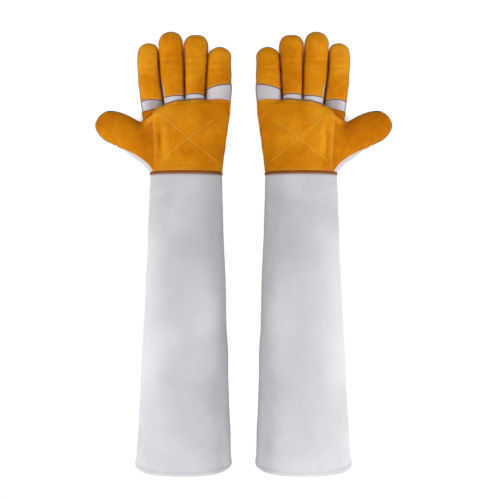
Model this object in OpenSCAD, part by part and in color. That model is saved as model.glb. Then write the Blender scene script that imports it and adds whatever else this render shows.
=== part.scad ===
// Long-sleeved leather handling gloves, a left and right pair lying palm up on a flat surface.
// Each glove is an oval sleeve tube, a hand of two sewn panels with a palm patch, four finger
// stalls and a thumb, all thin leather shells round the space that the arm and hand go into.
// +Y runs from the sleeve hem to the fingertips, +Z is up, towards the palm side, and z = 0 is
// the surface the leather rests on. Shapes are drawn as the right glove, with x measured from
// the little-finger edge towards the thumb; the left glove is its mirror image.

/* [Pair] */
// Gap between the two little-finger edges
pair_gap = 31; // [24:1:200]

/* [Sleeve] */
// Length of the sleeve from hem to wrist seam
sleeve_len = 400; // [340:5:460]
// Width of the sleeve at the wrist seam
wrist_w = 98.4; // [94:0.2:104]
// Thickness of the sleeve at the wrist seam
wrist_t = 49; // [46:0.5:52]
// Width of the sleeve at the hem
hem_w = 132; // [120:1:150]
// Thickness of the sleeve at the hem
hem_t = 70; // [60:1:84]
// Distance from the wrist seam down to the line where the sleeve bends at the elbow
elbow_drop = 250; // [200:5:280]
// Distance from the wrist seam down to the line where the wrist bends
wrist_drop = 20.5; // [18:0.5:24]

/* [Leather and lining] */
// Thickness of the split leather
leather_t = 1.6; // [1.2:0.1:1.8]
// Thickness of the overlay patches
patch_t = 1.4; // [1:0.1:1.6]
// Thickness of the cotton lining
lining_t = 0.8; // [0.6:0.1:1.2]
// Air gap between two layers
layer_gap = 0.25; // [0.2:0.05:0.4]

/* [Fingers] */
// Fingertip of the index finger, from the wrist seam
index_tip_y = 183.6; // [178:0.1:188]
// Fingertip of the middle finger, from the wrist seam
middle_tip_y = 199; // [195:0.1:205]
// Fingertip of the ring finger, from the wrist seam
ring_tip_y = 194.8; // [190:0.1:198]
// Fingertip of the little finger, from the wrist seam
little_tip_y = 178.6; // [174:0.1:182]
// Half thickness of a finger at its base
finger_half_t = 11.8; // [10.5:0.1:12.5]

/* [Flex] */
// Bend of a finger at its base, in degrees
knuckle_bend = 75; // [60:1:80]
// Bend of a finger at its middle, in degrees
middle_bend = 80; // [60:1:85]
// Swing of the thumb over the palm, in degrees
thumb_swing = 40; // [30:1:48]
// Bend of the thumb at its middle, in degrees
thumb_bend = 50; // [40:1:55]
// Bend of the wrist towards the palm, in degrees
wrist_bend = 50; // [40:1:55]
// Bend of the wrist towards the back of the hand, in degrees
wrist_back_bend = 35; // [20:1:40]
// Bend of the sleeve at the elbow, in degrees
elbow_bend = 80; // [60:1:90]

/* [Hidden] */

GREY = [0.80, 0.80, 0.82];
GOLD = [0.84, 0.52, 0.09];
BROWN = [0.36, 0.18, 0.08];
COTTON = [0.90, 0.88, 0.82];

// Y of the wrist seam, so that the pair's box is centred on the origin
y_wrist = sleeve_len - (sleeve_len + middle_tip_y) / 2;
// Clearance either side of a bend line
joint_gap = 1.2;
// Distance from the wrist seam to the panels on either side of it
seam_gap = 1.5;

// Layers: [inset of outer face, inset of inner face], negative outside the leather's face
LEATHER = [0, leather_t];
LINING = [leather_t + layer_gap, leather_t + layer_gap + lining_t];
PATCH = [-layer_gap - patch_t, -layer_gap];

// ---------- rings and shells ----------
// A section is [y, x centre, z centre, half width, half height] of a rounded oval. Its z centre
// is its half height less a small sink, so that its underside is flattened on the rest plane.
// Angles start at the thumb side and turn over the palm. Heights h are along Y from the wrist
// seam, negative towards the hem.

// Angles from first to last, both included
function arc(first, last, steps) = [for (i = [0:steps]) first + (last - first) * i / steps];
function palm_arc(steps) = arc(1, 179, steps);
function back_arc(steps) = arc(181, 359, steps);
function full_turn(count) = [for (i = [0:count - 1]) 360 * i / count];

function signed_pow(v, exponent) = sign(v) * pow(abs(v), exponent);

// Point at an angle on a section, kept above the rest plane. A larger power is squarer.
function section_point(section, angle, inset, power) = [
  section[1] + (section[3] - inset) * signed_pow(cos(angle), 2 / power),
  section[0],
  max(inset, section[2] + (section[4] - inset) * signed_pow(sin(angle), 2 / power))];

// Moves a point along Y by its height above or below the bend line, so that the fold has room
function mitred(p, above, hinge_z, below = 0) =
  [p.x, p.y + above * max(0, p.z - hinge_z) + below * max(0, hinge_z - p.z), p.z];

// Two triangles that share the diagonal from a to c
function quad(a, b, c, d) = [[a, b, c], [a, c, d]];

// A thin shell between two lists of rings. closed: the rings close. capped: the last ring is.
module shell(outer, inner, closed = true, capped = false) {
  count = len(outer[0]);
  last = len(outer) - 1;
  edge = count - 1;
  sides = closed ? count : edge;
  inner_start = len(outer) * count;
  function out(r, i) = r * count + i % count;
  function inn(r, i) = inner_start + out(r, i);
  polyhedron(
    points = [for (grid = [outer, inner]) for (ring = grid) each ring],
    faces = [
      for (r = [0:last - 1], i = [0:sides - 1])
        each quad(out(r, i), out(r, i + 1), out(r + 1, i + 1), out(r + 1, i)),
      for (r = [0:last - 1], i = [0:sides - 1])
        each quad(inn(r + 1, i + 1), inn(r, i + 1), inn(r, i), inn(r + 1, i)),
      for (i = [0:sides - 1])
        each quad(inn(0, i), inn(0, i + 1), out(0, i + 1), out(0, i)),
      if (capped) [for (i = [0:edge]) out(last, i)],
      if (capped) [for (i = [edge:-1:0]) inn(last, i)],
      if (!capped) for (i = [0:sides - 1])
        each quad(out(last, i), out(last, i + 1), inn(last, i + 1), inn(last, i)),
      if (!closed) for (r = [0:last - 1])
        each quad(out(r, 0), out(r + 1, 0), inn(r + 1, 0), inn(r, 0)),
      if (!closed) for (r = [0:last - 1])
        each quad(inn(r + 1, edge), out(r + 1, edge), out(r, edge), inn(r, edge))]);
}

// ---------- sleeve ----------

sleeve_angles = full_turn(28);
sleeve_power = 2.3;
sleeve_sink = 1;
// Centre line of the sleeve at the wrist and at the hem
x_wrist = 63.6;
x_hem = 66.8;
// Distance from a bend line to the nearest plain ring
elbow_reach = 38;
wrist_reach = 18;
// Distance from the hem to the edge of the lining
lining_setback = 6;
// Half width of the welt, of its flat top, and its rise above the leather
welt_half_w = 1.25;
welt_flat = 1;
welt_rise = 1.5;

// Folds: [mitre slope above the bend line, mitre slope below it]
NO_FOLD = [0, 0];
ELBOW_FOLD = [tan(elbow_bend / 2), 0];
WRIST_FOLD = [tan(wrist_bend / 2), tan(wrist_back_bend / 2)];

function sleeve(h) =
  let (part = -h / sleeve_len,
       half_t = (wrist_t + (hem_t - wrist_t) * part) / 2,
       half_w = (wrist_w + (hem_w - wrist_w) * part) / 2)
  [y_wrist + h, x_wrist + (x_hem - x_wrist) * part, half_t - sleeve_sink, half_w, half_t];

function sleeve_ring(h, inset, fold = NO_FOLD) =
  let (section = sleeve(h))
  [for (q = sleeve_angles)
    mitred(section_point(section, q, inset, sleeve_power), fold[0], section[2], fold[1])];

function sleeve_rings(start, middles, end, inset, start_fold, end_fold) = [
  sleeve_ring(start, inset, start_fold),
  for (h = middles) sleeve_ring(h, inset),
  sleeve_ring(end, inset, -end_fold)];

module sleeve_tube(start, middles, end, layer, start_fold = NO_FOLD, end_fold = NO_FOLD)
  shell(sleeve_rings(start, middles, end, layer[0], start_fold, end_fold),
        sleeve_rings(start, middles, end, layer[1], start_fold, end_fold));

module upper_tube(start, layer)
  sleeve_tube(start, [-elbow_drop - elbow_reach], -elbow_drop - joint_gap, layer,
              end_fold = ELBOW_FOLD);
module lower_tube(layer)
  sleeve_tube(-elbow_drop + joint_gap, [-elbow_drop + elbow_reach, -wrist_drop - wrist_reach],
              -wrist_drop - joint_gap, layer, ELBOW_FOLD, WRIST_FOLD);

module gauntlet_upper() color(GREY) upper_tube(-sleeve_len, LEATHER);
module gauntlet_upper_lining() color(COTTON) upper_tube(-sleeve_len + lining_setback, LINING);
module gauntlet_lower() color(GREY) lower_tube(LEATHER);
module gauntlet_lower_lining() color(COTTON) lower_tube(LINING);
module gauntlet_wrist() color(GREY)
  sleeve_tube(-wrist_drop + joint_gap, [-4], -seam_gap, LEATHER, start_fold = WRIST_FOLD);
module wrist_welt() color(BROWN)
  sleeve_tube(-welt_half_w, [-welt_flat, welt_flat], welt_half_w, [-welt_rise, leather_t]);

// ---------- finger sizes ----------

// [x at base, x at middle, x at tip, half width at base, half width at middle,
//  y of knuckle, y of middle joint, y of tip]
INDEX = [111.5, 117.0, 115.6, 14.1, 15.3, 111.5, 146.5, index_tip_y];
MIDDLE = [80.9, 83.4, 82.8, 14.2, 16.8, 115.5, 155.5, middle_tip_y];
RING = [51.4, 49.6, 49.1, 12.4, 15.2, 115.5, 153.5, ring_tip_y];
LITTLE = [18.8, 16.8, 18.5, 18.2, 16.5, 113.5, 144.5, little_tip_y];
// Columns of the Y positions
KNUCKLE = 5;
JOINT = 6;
TIP = 7;

finger_sink = 0.4;
knuckle_slope = tan(knuckle_bend / 2);
knuckle_z = finger_half_t - finger_sink;

// ---------- hand ----------

hand_count = 28;
hand_power = 2.6;
hand_sink = 0.6;
panel_steps = hand_count / 2;
// Steps of the palm panel at the thumb side that the patch leaves bare
bare_steps = 3;
thumb_slope = tan(thumb_swing / 2);
// Height of the thumb's bend line, and how far up the hand that line trims the panels
thumb_z = 19;
thumb_cut_top = 76;

// [h, x] of the little-finger edge and of the thumb-side edge, and [h, half height]
HAND_LITTLE_EDGE = [[0, 14.4], [20, 12.8], [40, 9.6], [60, 6.6], [76, 4.1], [90, 1.7],
                    [102, 0.3], [112, 0.2]];
HAND_THUMB_EDGE = [[0, 111.4], [75.5, 123.5], [90, 124.6], [102, 127], [112, 127.2]];
HAND_HALF_T = [[0, 24], [20, 23], [45, 21.3], [70, 19.6], [88, 16.6], [102, 12.6],
               [112, finger_half_t + 0.1]];

// Heights of the rings of each layer
hand_top = INDEX[KNUCKLE] - joint_gap;
patch_top = 98;
HAND_MIDDLES = [22, 45, 68, thumb_cut_top, 88];
PANEL_STATIONS = [seam_gap, each HAND_MIDDLES, patch_top, hand_top];
PATCH_STATIONS = [4, each HAND_MIDDLES, patch_top];
LINING_STATIONS = [3, each HAND_MIDDLES];

function hand(h) =
  let (little_x = lookup(h, HAND_LITTLE_EDGE),
       thumb_x = lookup(h, HAND_THUMB_EDGE),
       half_t = lookup(h, HAND_HALF_T))
  [y_wrist + h, (little_x + thumb_x) / 2, half_t - hand_sink, (thumb_x - little_x) / 2, half_t];

// x of the thumb's bend line at h
function thumb_line(h) = 111.5 + (h - 0.5) * 12 / 75;

// Keeps a hand point on the palm's side of the thumb's bend line
function thumb_cut(p, h, inset) =
  h > thumb_cut_top ? p :
  [min(p.x, thumb_line(h) - joint_gap - inset - thumb_slope * max(0, p.z - thumb_z)), p.y, p.z];

// Rings of the hand; only the one at the knuckles is mitred
function hand_rings(stations, inset, angles) =
  [for (h = stations) let (section = hand(h), slope = h == hand_top ? -knuckle_slope : 0)
    [for (q = angles)
      mitred(thumb_cut(section_point(section, q, inset, hand_power), h, inset),
             slope, knuckle_z)]];

module hand_layer(stations, layer, angles, closed = false)
  shell(hand_rings(stations, layer[0], angles), hand_rings(stations, layer[1], angles), closed);

module palm_panel() color(GREY) hand_layer(PANEL_STATIONS, LEATHER, palm_arc(panel_steps));
module back_panel() color(GREY) hand_layer(PANEL_STATIONS, LEATHER, back_arc(panel_steps));
module palm_patch() color(GOLD)
  hand_layer(PATCH_STATIONS, PATCH,
             [for (i = [bare_steps:panel_steps]) palm_arc(panel_steps)[i]]);
module hand_lining() color(COTTON)
  hand_layer(LINING_STATIONS, LINING, full_turn(hand_count), closed = true);

// ---------- fingers ----------

finger_count = 16;
finger_power = 2.3;
middle_slope = tan(middle_bend / 2);
// Height at which the middle x and half width of every finger are taken
finger_middle_y = 150;
// The tip closes as a quarter ellipse this long
tip_len = 15;
// Distance from a bend line to the plain ring past it, and to the plain ring before it
reach_past = 13.5;
reach_before = 14;

stall_angles = full_turn(finger_count);
// The patch covers the palm side, one step in from either edge
patch_angles = [for (i = [1:finger_count / 2 - 1]) stall_angles[i]];

// Distances of the end rings from the fingertip
STALL_OUTER_ENDS = [13, 5, 1.5, 0];
STALL_INNER_ENDS = [13, 6, 3.2, 2.4];
PATCH_ENDS = [13, 5, 1.5];

function finger_section(f, h) =
  let (to_tip = f[TIP] - h,
       rounding = to_tip >= tip_len ? 1
                : sqrt(max(0.03, 1 - pow((tip_len - to_tip) / tip_len, 2))),
       x = lookup(h, [[f[KNUCKLE], f[0]], [finger_middle_y, f[1]], [f[TIP], f[2]]]),
       half_w = lookup(h, [[f[KNUCKLE], f[3]], [finger_middle_y, f[4]], [f[TIP], f[4] * 0.97]]),
       half_t = lookup(h, [[f[KNUCKLE], finger_half_t], [f[JOINT], finger_half_t - 0.6],
                           [f[TIP], finger_half_t - 1.4]]))
  [y_wrist + h, x, half_t - finger_sink, half_w * rounding, half_t * rounding];

function finger_ring(f, h, inset, angles, slope = 0, hinge_z = 0) =
  [for (q = angles)
    mitred(section_point(finger_section(f, h), q, inset, finger_power), slope, hinge_z)];

function joint_z(f) = finger_section(f, f[JOINT])[2];

// Rings from the knuckle to the middle joint
function base_rings(f, inset, angles) = [
  finger_ring(f, f[KNUCKLE] + joint_gap, inset, angles, knuckle_slope, knuckle_z),
  finger_ring(f, f[KNUCKLE] + reach_past, inset, angles),
  finger_ring(f, f[JOINT] - reach_before, inset, angles),
  finger_ring(f, f[JOINT] - joint_gap, inset, angles, -middle_slope, joint_z(f))];

// Rings from the middle joint to the fingertip
function tip_rings(f, inset, angles, ends) = [
  finger_ring(f, f[JOINT] + joint_gap, inset, angles, middle_slope, joint_z(f)),
  finger_ring(f, f[JOINT] + reach_past, inset, angles),
  for (e = ends) finger_ring(f, f[TIP] - e, inset, angles)];

module base_stall(f) color(GREY)
  shell(base_rings(f, LEATHER[0], stall_angles), base_rings(f, LEATHER[1], stall_angles));
module tip_stall(f) color(GREY)
  shell(tip_rings(f, LEATHER[0], stall_angles, STALL_OUTER_ENDS),
        tip_rings(f, LEATHER[1], stall_angles, STALL_INNER_ENDS), capped = true);
module base_patch(f) color(GOLD)
  shell(base_rings(f, PATCH[0], patch_angles), base_rings(f, PATCH[1], patch_angles),
        closed = false);
module tip_patch(f) color(GOLD)
  shell(tip_rings(f, PATCH[0], patch_angles, PATCH_ENDS),
        tip_rings(f, PATCH[1], patch_angles, PATCH_ENDS), closed = false);

// ---------- thumb ----------
// Built along +Y from the middle of its bend line, then swung out to its own direction.

// Root of the thumb: [x, h]
THUMB_ROOT = [117.5, 38];
thumb_turn = -60.7;
// Slope of the bend line across the thumb, and the run along the thumb for 1 mm square to it
root_skew = -0.792;
root_run = 1 / 0.783;
thumb_power = 2.3;
thumb_sink = 0.3;
thumb_steps = 9;
thumb_mid_slope = tan(thumb_bend / 2);
THUMB_ROOT_SECTION = [0, -3, 18.2, 24.6, 18.8];

// Stations: [y, x centre, half width, half height]
THUMB_LOWER = [37, -2, 23.2, 14.6];
THUMB_MID = [56, -2, 22.8, 12.8];
THUMB_UPPER = [
  [THUMB_MID[0] + 10, -1.5, 21, 12],
  [74, -1.3, 17.7, 10.5],
  [80, -1.3, 11.5, 8]];
THUMB_END = [83.6, -1.3, 5, 4.5];
// The inner face stops short of the end by this share of its inset, which is limited there
end_setback = 0.8;
end_inset_max = 1.2;

thumb_mid_z = THUMB_MID[3] - thumb_sink;

function shifted(station, dy) = [station[0] + dy, station[1], station[2], station[3]];

// The root ring follows the slanting bend line
function thumb_root_ring(inset, angles) =
  [for (q = angles) let (p = section_point(THUMB_ROOT_SECTION, q, inset, thumb_power))
    [p.x,
     root_skew * p.x + root_run * (joint_gap + thumb_slope * max(0, p.z - thumb_z)),
     p.z]];

function thumb_ring(station, inset, angles, slope = 0) =
  let (section = [station[0], station[1], station[3] - thumb_sink, station[2], station[3]])
  [for (q = angles) mitred(section_point(section, q, inset, thumb_power), slope, thumb_mid_z)];

function thumb_base_rings(inset, angles) = [
  thumb_root_ring(inset, angles),
  thumb_ring(THUMB_LOWER, inset, angles),
  thumb_ring(shifted(THUMB_MID, -joint_gap), inset, angles, -thumb_mid_slope)];

function thumb_tip_rings(inset, angles) = [
  thumb_ring(shifted(THUMB_MID, joint_gap), inset, angles, thumb_mid_slope),
  for (station = THUMB_UPPER) thumb_ring(station, inset, angles),
  thumb_ring(shifted(THUMB_END, -inset * end_setback), min(inset, end_inset_max), angles)];

module place_thumb()
  translate([THUMB_ROOT[0], y_wrist + THUMB_ROOT[1], 0]) rotate([0, 0, thumb_turn]) children();

module thumb_base(angles) place_thumb()
  shell(thumb_base_rings(LEATHER[0], angles), thumb_base_rings(LEATHER[1], angles),
        closed = false);
module thumb_tip(angles) place_thumb()
  shell(thumb_tip_rings(LEATHER[0], angles), thumb_tip_rings(LEATHER[1], angles),
        closed = false);

// The front halves are on the palm side
module thumb_base_front() color(GOLD) thumb_base(palm_arc(thumb_steps));
module thumb_base_back() color(GREY) thumb_base(back_arc(thumb_steps));
module thumb_tip_front() color(GOLD) thumb_tip(palm_arc(thumb_steps));
module thumb_tip_back() color(GREY) thumb_tip(back_arc(thumb_steps));

// ---------- the pair ----------

module right() translate([pair_gap / 2, 0, 0]) children();
module left() mirror([1, 0, 0]) right() children();

left() gauntlet_upper();  // left_gauntlet_upper
left() gauntlet_upper_lining();  // left_gauntlet_upper_lining
left() gauntlet_lower();  // left_gauntlet_lower
left() gauntlet_lower_lining();  // left_gauntlet_lower_lining
left() gauntlet_wrist();  // left_gauntlet_wrist
left() wrist_welt();  // left_wrist_welt
left() palm_panel();  // left_palm_panel
left() back_panel();  // left_back_panel
left() palm_patch();  // left_palm_patch
left() hand_lining();  // left_hand_lining
left() thumb_base_front();  // left_thumb_base_front
left() thumb_base_back();  // left_thumb_base_back
left() thumb_tip_front();  // left_thumb_tip_front
left() thumb_tip_back();  // left_thumb_tip_back
left() base_stall(INDEX);  // left_index_base_stall
left() base_patch(INDEX);  // left_index_base_patch
left() tip_stall(INDEX);  // left_index_tip_stall
left() tip_patch(INDEX);  // left_index_tip_patch
left() base_stall(MIDDLE);  // left_middle_base_stall
left() base_patch(MIDDLE);  // left_middle_base_patch
left() tip_stall(MIDDLE);  // left_middle_tip_stall
left() tip_patch(MIDDLE);  // left_middle_tip_patch
left() base_stall(RING);  // left_ring_base_stall
left() base_patch(RING);  // left_ring_base_patch
left() tip_stall(RING);  // left_ring_tip_stall
left() tip_patch(RING);  // left_ring_tip_patch
left() base_stall(LITTLE);  // left_little_base_stall
left() base_patch(LITTLE);  // left_little_base_patch
left() tip_stall(LITTLE);  // left_little_tip_stall
left() tip_patch(LITTLE);  // left_little_tip_patch
right() gauntlet_upper();  // right_gauntlet_upper
right() gauntlet_upper_lining();  // right_gauntlet_upper_lining
right() gauntlet_lower();  // right_gauntlet_lower
right() gauntlet_lower_lining();  // right_gauntlet_lower_lining
right() gauntlet_wrist();  // right_gauntlet_wrist
right() wrist_welt();  // right_wrist_welt
right() palm_panel();  // right_palm_panel
right() back_panel();  // right_back_panel
right() palm_patch();  // right_palm_patch
right() hand_lining();  // right_hand_lining
right() thumb_base_front();  // right_thumb_base_front
right() thumb_base_back();  // right_thumb_base_back
right() thumb_tip_front();  // right_thumb_tip_front
right() thumb_tip_back();  // right_thumb_tip_back
right() base_stall(INDEX);  // right_index_base_stall
right() base_patch(INDEX);  // right_index_base_patch
right() tip_stall(INDEX);  // right_index_tip_stall
right() tip_patch(INDEX);  // right_index_tip_patch
right() base_stall(MIDDLE);  // right_middle_base_stall
right() base_patch(MIDDLE);  // right_middle_base_patch
right() tip_stall(MIDDLE);  // right_middle_tip_stall
right() tip_patch(MIDDLE);  // right_middle_tip_patch
right() base_stall(RING);  // right_ring_base_stall
right() base_patch(RING);  // right_ring_base_patch
right() tip_stall(RING);  // right_ring_tip_stall
right() tip_patch(RING);  // right_ring_tip_patch
right() base_stall(LITTLE);  // right_little_base_stall
right() base_patch(LITTLE);  // right_little_base_patch
right() tip_stall(LITTLE);  // right_little_tip_stall
right() tip_patch(LITTLE);  // right_little_tip_patch
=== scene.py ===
"""A pair of long-sleeved leather work gloves lying side by side, palms up, fingers towards +Y.

Only the right-hand glove is worked out, in millimetres: x from the little-finger edge towards the
thumb, y from the wrist seam towards the fingertips, z up from the floor. Its sleeve runs to -y.
The left-hand glove is its mirror image in the world's X.
"""
import math
from types import SimpleNamespace

import bpy
import numpy as np
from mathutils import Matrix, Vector


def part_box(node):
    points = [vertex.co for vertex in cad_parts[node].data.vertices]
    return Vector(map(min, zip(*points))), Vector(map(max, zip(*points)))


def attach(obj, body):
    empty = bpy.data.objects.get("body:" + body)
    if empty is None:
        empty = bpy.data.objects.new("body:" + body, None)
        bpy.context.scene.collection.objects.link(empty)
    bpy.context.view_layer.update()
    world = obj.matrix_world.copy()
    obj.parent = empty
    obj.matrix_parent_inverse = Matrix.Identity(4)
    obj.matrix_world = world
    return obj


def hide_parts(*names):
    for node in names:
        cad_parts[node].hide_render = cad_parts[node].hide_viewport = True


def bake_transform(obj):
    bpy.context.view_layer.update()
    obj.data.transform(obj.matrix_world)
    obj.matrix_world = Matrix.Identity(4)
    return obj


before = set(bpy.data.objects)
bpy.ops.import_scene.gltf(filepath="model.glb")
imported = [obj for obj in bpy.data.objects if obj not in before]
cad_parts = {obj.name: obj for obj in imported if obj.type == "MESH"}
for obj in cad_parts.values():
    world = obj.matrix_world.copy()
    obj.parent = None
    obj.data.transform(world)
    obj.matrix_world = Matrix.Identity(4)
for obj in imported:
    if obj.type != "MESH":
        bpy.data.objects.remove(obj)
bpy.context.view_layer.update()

WRIST_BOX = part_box("right_wrist_welt")
SEAM_Y = (WRIST_BOX[0].y + WRIST_BOX[1].y) * 500.0  # the wrist seam's world place, mm
EDGE_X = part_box("right_palm_panel")[0].x * 1000.0 - 0.2
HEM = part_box("right_gauntlet_upper")[0].y * 1000.0 - SEAM_Y
STEP = 1.15  # grid the leather surfaces are meshed on


# ------------------------------------------------------------------ shaping functions
def curve(stations, values):
    """A monotone cubic through the values at the stations, constant beyond both ends."""
    xs, ys = np.array(stations, float), np.array(values, float)
    gap = np.diff(xs)
    rate = np.diff(ys) / gap
    slope = np.zeros(len(xs))
    slope[0], slope[-1] = rate[0], rate[-1]
    for i in range(1, len(xs) - 1):
        if rate[i - 1] * rate[i] > 0:
            before, after = 2 * gap[i] + gap[i - 1], gap[i] + 2 * gap[i - 1]
            slope[i] = (before + after) / (before / rate[i - 1] + after / rate[i])

    def value(x):
        x = np.clip(x, xs[0], xs[-1])
        i = np.clip(np.searchsorted(xs, x) - 1, 0, len(xs) - 2)
        part = (x - xs[i]) / gap[i]
        square, cube = part * part, part * part * part
        return (
            (2 * cube - 3 * square + 1) * ys[i]
            + (cube - 2 * square + part) * gap[i] * slope[i]
            + (3 * square - 2 * cube) * ys[i + 1]
            + (cube - square) * gap[i] * slope[i + 1]
        )

    return value


def fade(start, end, x):
    """Smooth step from 0 at start to 1 at end; start may be the larger."""
    part = np.clip((x - start) / (end - start), 0, 1)
    return part * part * (3 - 2 * part)


def bell(offset, width):
    return np.exp(-((offset / width) ** 2))


def soft_min(one, other, blend):
    near = np.maximum(blend - np.abs(one - other), 0) / blend
    return np.minimum(one, other) - near * near * blend * 0.25


def soft_max(one, other, blend):
    return -soft_min(-one, -other, blend)


def waves(seed, length, count=7):
    """A smooth two-dimensional ripple with unit spread and wavelengths near length."""
    draw = np.random.RandomState(seed)
    angles = draw.uniform(0, 2 * math.pi, count)
    rates = 2 * math.pi / (length * draw.uniform(0.7, 1.5, count))
    phases = draw.uniform(0, 2 * math.pi, count)

    def ripple(x, y):
        total = 0
        for angle, rate, phase in zip(angles, rates, phases):
            total = total + np.sin((x * math.cos(angle) + y * math.sin(angle)) * rate + phase)
        return total / math.sqrt(count / 2.0)

    return ripple


# ------------------------------------------------------------------ outline of the hand
# Each finger, from the thumb's side to the little-finger edge. Curves run over y (patch_base over
# x). mid_x, half_x and half_z: middle line, half-width, half-height. tip: end; cap: length of the
# rounded end; end_power: its squareness; lift: height added. cut: where it leaves the hand's
# mesh; split: where its base and tip pieces meet; knuckle, joint: the y spans of the two bends;
# patch_base: lower edge of its suede patch.
FINGERS = {
    finger.name: finger
    for finger in (
        SimpleNamespace(
            name="index",
            mid_x=curve([84, 105, 131, 159, 175, 184], [110.6, 112.6, 116.3, 118.4, 117.7, 114.9]),
            half_x=curve([84, 105, 131, 159, 175], [14.6, 14.6, 14.5, 14.3, 13.9]),
            half_z=curve([84, 104, 140, 184], [12.9, 12.5, 12.1, 11.0]),
            tip=182.3, cap=15.0, end_power=2.4, lift=-0.4, cut=98.5, split=131.0,
            knuckle=(99.0, 129.5), joint=(132.5, 160.5),
            patch_base=curve([98, 110, 118, 125, 132], [102.2, 102.5, 102.1, 101.2, 100.4]),
        ),
        SimpleNamespace(
            name="middle",
            mid_x=curve([84, 111, 132, 149, 175, 200], [81.4, 82.1, 83.8, 84.5, 86.2, 86.0]),
            half_x=curve([84, 111, 132, 149, 175], [14.2, 14.5, 15.6, 16.1, 16.3]),
            half_z=curve([84, 105, 142, 200], [13.6, 13.4, 12.9, 11.8]),
            tip=198.8, cap=21.0, end_power=2.12, lift=0.5, cut=104.2, split=138.5,
            knuckle=(104.8, 136.5), joint=(140.5, 170.5),
            patch_base=curve([66, 80, 94, 98], [108.9, 107.2, 105.5, 105.2]),
        ),
        SimpleNamespace(
            name="ring",
            mid_x=curve([84, 111, 132, 149, 175, 195], [52.4, 52.4, 51.9, 51.4, 51.2, 51.8]),
            half_x=curve([84, 111, 132, 149, 172], [13.4, 13.5, 14.1, 14.7, 16.2]),
            half_z=curve([84, 105, 142, 195], [13.3, 13.1, 12.7, 11.6]),
            tip=194.3, cap=15.5, end_power=2.25, lift=0.3, cut=104.2, split=137.5,
            knuckle=(104.8, 136.0), joint=(139.0, 168.0),
            patch_base=curve([36, 52, 67], [109.6, 110.2, 109.8]),
        ),
        SimpleNamespace(
            name="little",
            mid_x=curve(
                [84, 96, 111, 132, 149, 165, 178], [21.4, 20.6, 20.1, 19.4, 18.8, 18.4, 18.3]
            ),
            half_x=curve([84, 96, 111, 132, 149, 165], [15.2, 16.6, 17.1, 16.8, 16.4, 15.8]),
            half_z=curve([84, 105, 140, 178], [12.6, 12.2, 11.8, 10.8]),
            tip=177.5, cap=14.5, end_power=2.16, lift=-0.2, cut=104.2, split=131.5,
            knuckle=(104.8, 130.8), joint=(132.0, 158.0),
            patch_base=curve([0, 12, 22, 35, 38], [126.0, 123.7, 121.6, 118.2, 117.4]),
        ),
    )
}

# Palm over y: little-finger edge, thumb edge and half-height; over x: its end towards the fingers.
PALM_LOW_X = curve(
    [-8, 0, 20, 40, 60, 74, 80, 84, 90, 104],
    [15.4, 15.2, 13.6, 10.8, 8.2, 6.6, 6.3, 6.7, 7.2, 7.0],
)
PALM_HIGH_X = curve(
    [-8, 0, 20, 50, 72, 82, 90, 104], [112.3, 112.2, 114.5, 119.0, 125.0, 125.8, 125.9, 126.6]
)
PALM_HALF_Z = curve([-8, 0, 20, 45, 70, 88, 102], [24.4, 24.3, 23.2, 21.2, 18.9, 16.2, 14.0])
PALM_END_Y = curve(
    [0, 12, 37, 65, 80, 96.5, 112, 130], [98.0, 100.5, 101.8, 101.0, 98.2, 95.6, 93.0, 90.0]
)
PALM_CAP = 9.0

# Thumb over the distance along its axis: half-width, sideways shift and half-height.
THUMB_HALF_X = curve([-24, -12, -1, 13, 26, 40, 52], [26.9, 25.4, 23.9, 23.6, 22.5, 21.6, 21.4])
THUMB_SHIFT = curve(
    [-24, -12, -1, 13, 26, 40, 50, 70, 84], [2.9, 1.5, -0.1, -0.3, -1.4, -1.9, -1.5, -0.3, 0.8]
)
THUMB_HALF_Z = curve([-16, 0, 20, 37, 58], [17.4, 17.0, 15.6, 14.2, 12.6])
ROOT_X, ROOT_Y = 117.5, 38.0  # start of the thumb's axis
AXIS_Y, AXIS_X = math.cos(math.radians(60.7)), math.sin(math.radians(60.7))
BEND_LEAN = 0.16  # x gained per y along the thumb's bend line
BEND_LENGTH = math.hypot(1, BEND_LEAN)
THUMB_CUT = 2.0  # distance past the bend line where the thumb's pieces start
THUMB_MID = 48.6  # distance along the axis where base and tip pieces meet


def thumb_axes(x, y):
    """Distance along the thumb's axis and, towards the wrist, across it."""
    return (
        (x - ROOT_X) * AXIS_X + (y - ROOT_Y) * AXIS_Y,
        (x - ROOT_X) * AXIS_Y - (y - ROOT_Y) * AXIS_X,
    )


def thumb_side(x, y):
    """Distance from the thumb's bend line, positive on the thumb's side."""
    return (x - (ROOT_X + BEND_LEAN * (y - ROOT_Y))) / BEND_LENGTH


# ------------------------------------------------------------------ the hand as an implicit surface
def body_distance(across, up, past, half_x, half_z, reach, side_power, end_power):
    """Rough distance from a rounded body; the first three are shares of the next three."""
    across, up = np.abs(across), np.abs(up)
    section = (across**side_power + up**side_power) ** (1 / side_power) + 1e-9
    radius = (section**end_power + past**end_power) ** (1 / end_power) + 1e-9
    share = (section / radius) ** (end_power - 1)
    slope = np.sqrt(
        (share * (across / section) ** (side_power - 1) / half_x) ** 2
        + (share * (up / section) ** (side_power - 1) / half_z) ** 2
        + ((past / radius) ** (end_power - 1) / reach) ** 2
    )
    return (radius - 1) / (slope + 1e-9)


def palm_body(x, y, z):
    low, high, half_z = PALM_LOW_X(y), PALM_HIGH_X(y), PALM_HALF_Z(y)
    half_x = (high - low) / 2
    across = (x - (low + high) / 2) / half_x
    past = np.maximum(y - (PALM_END_Y(x) - PALM_CAP), 0) / PALM_CAP
    up = (z - (half_z - 0.8)) / half_z
    return body_distance(across, up, past, half_x, half_z, PALM_CAP, 2.35, 2.0)


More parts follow.
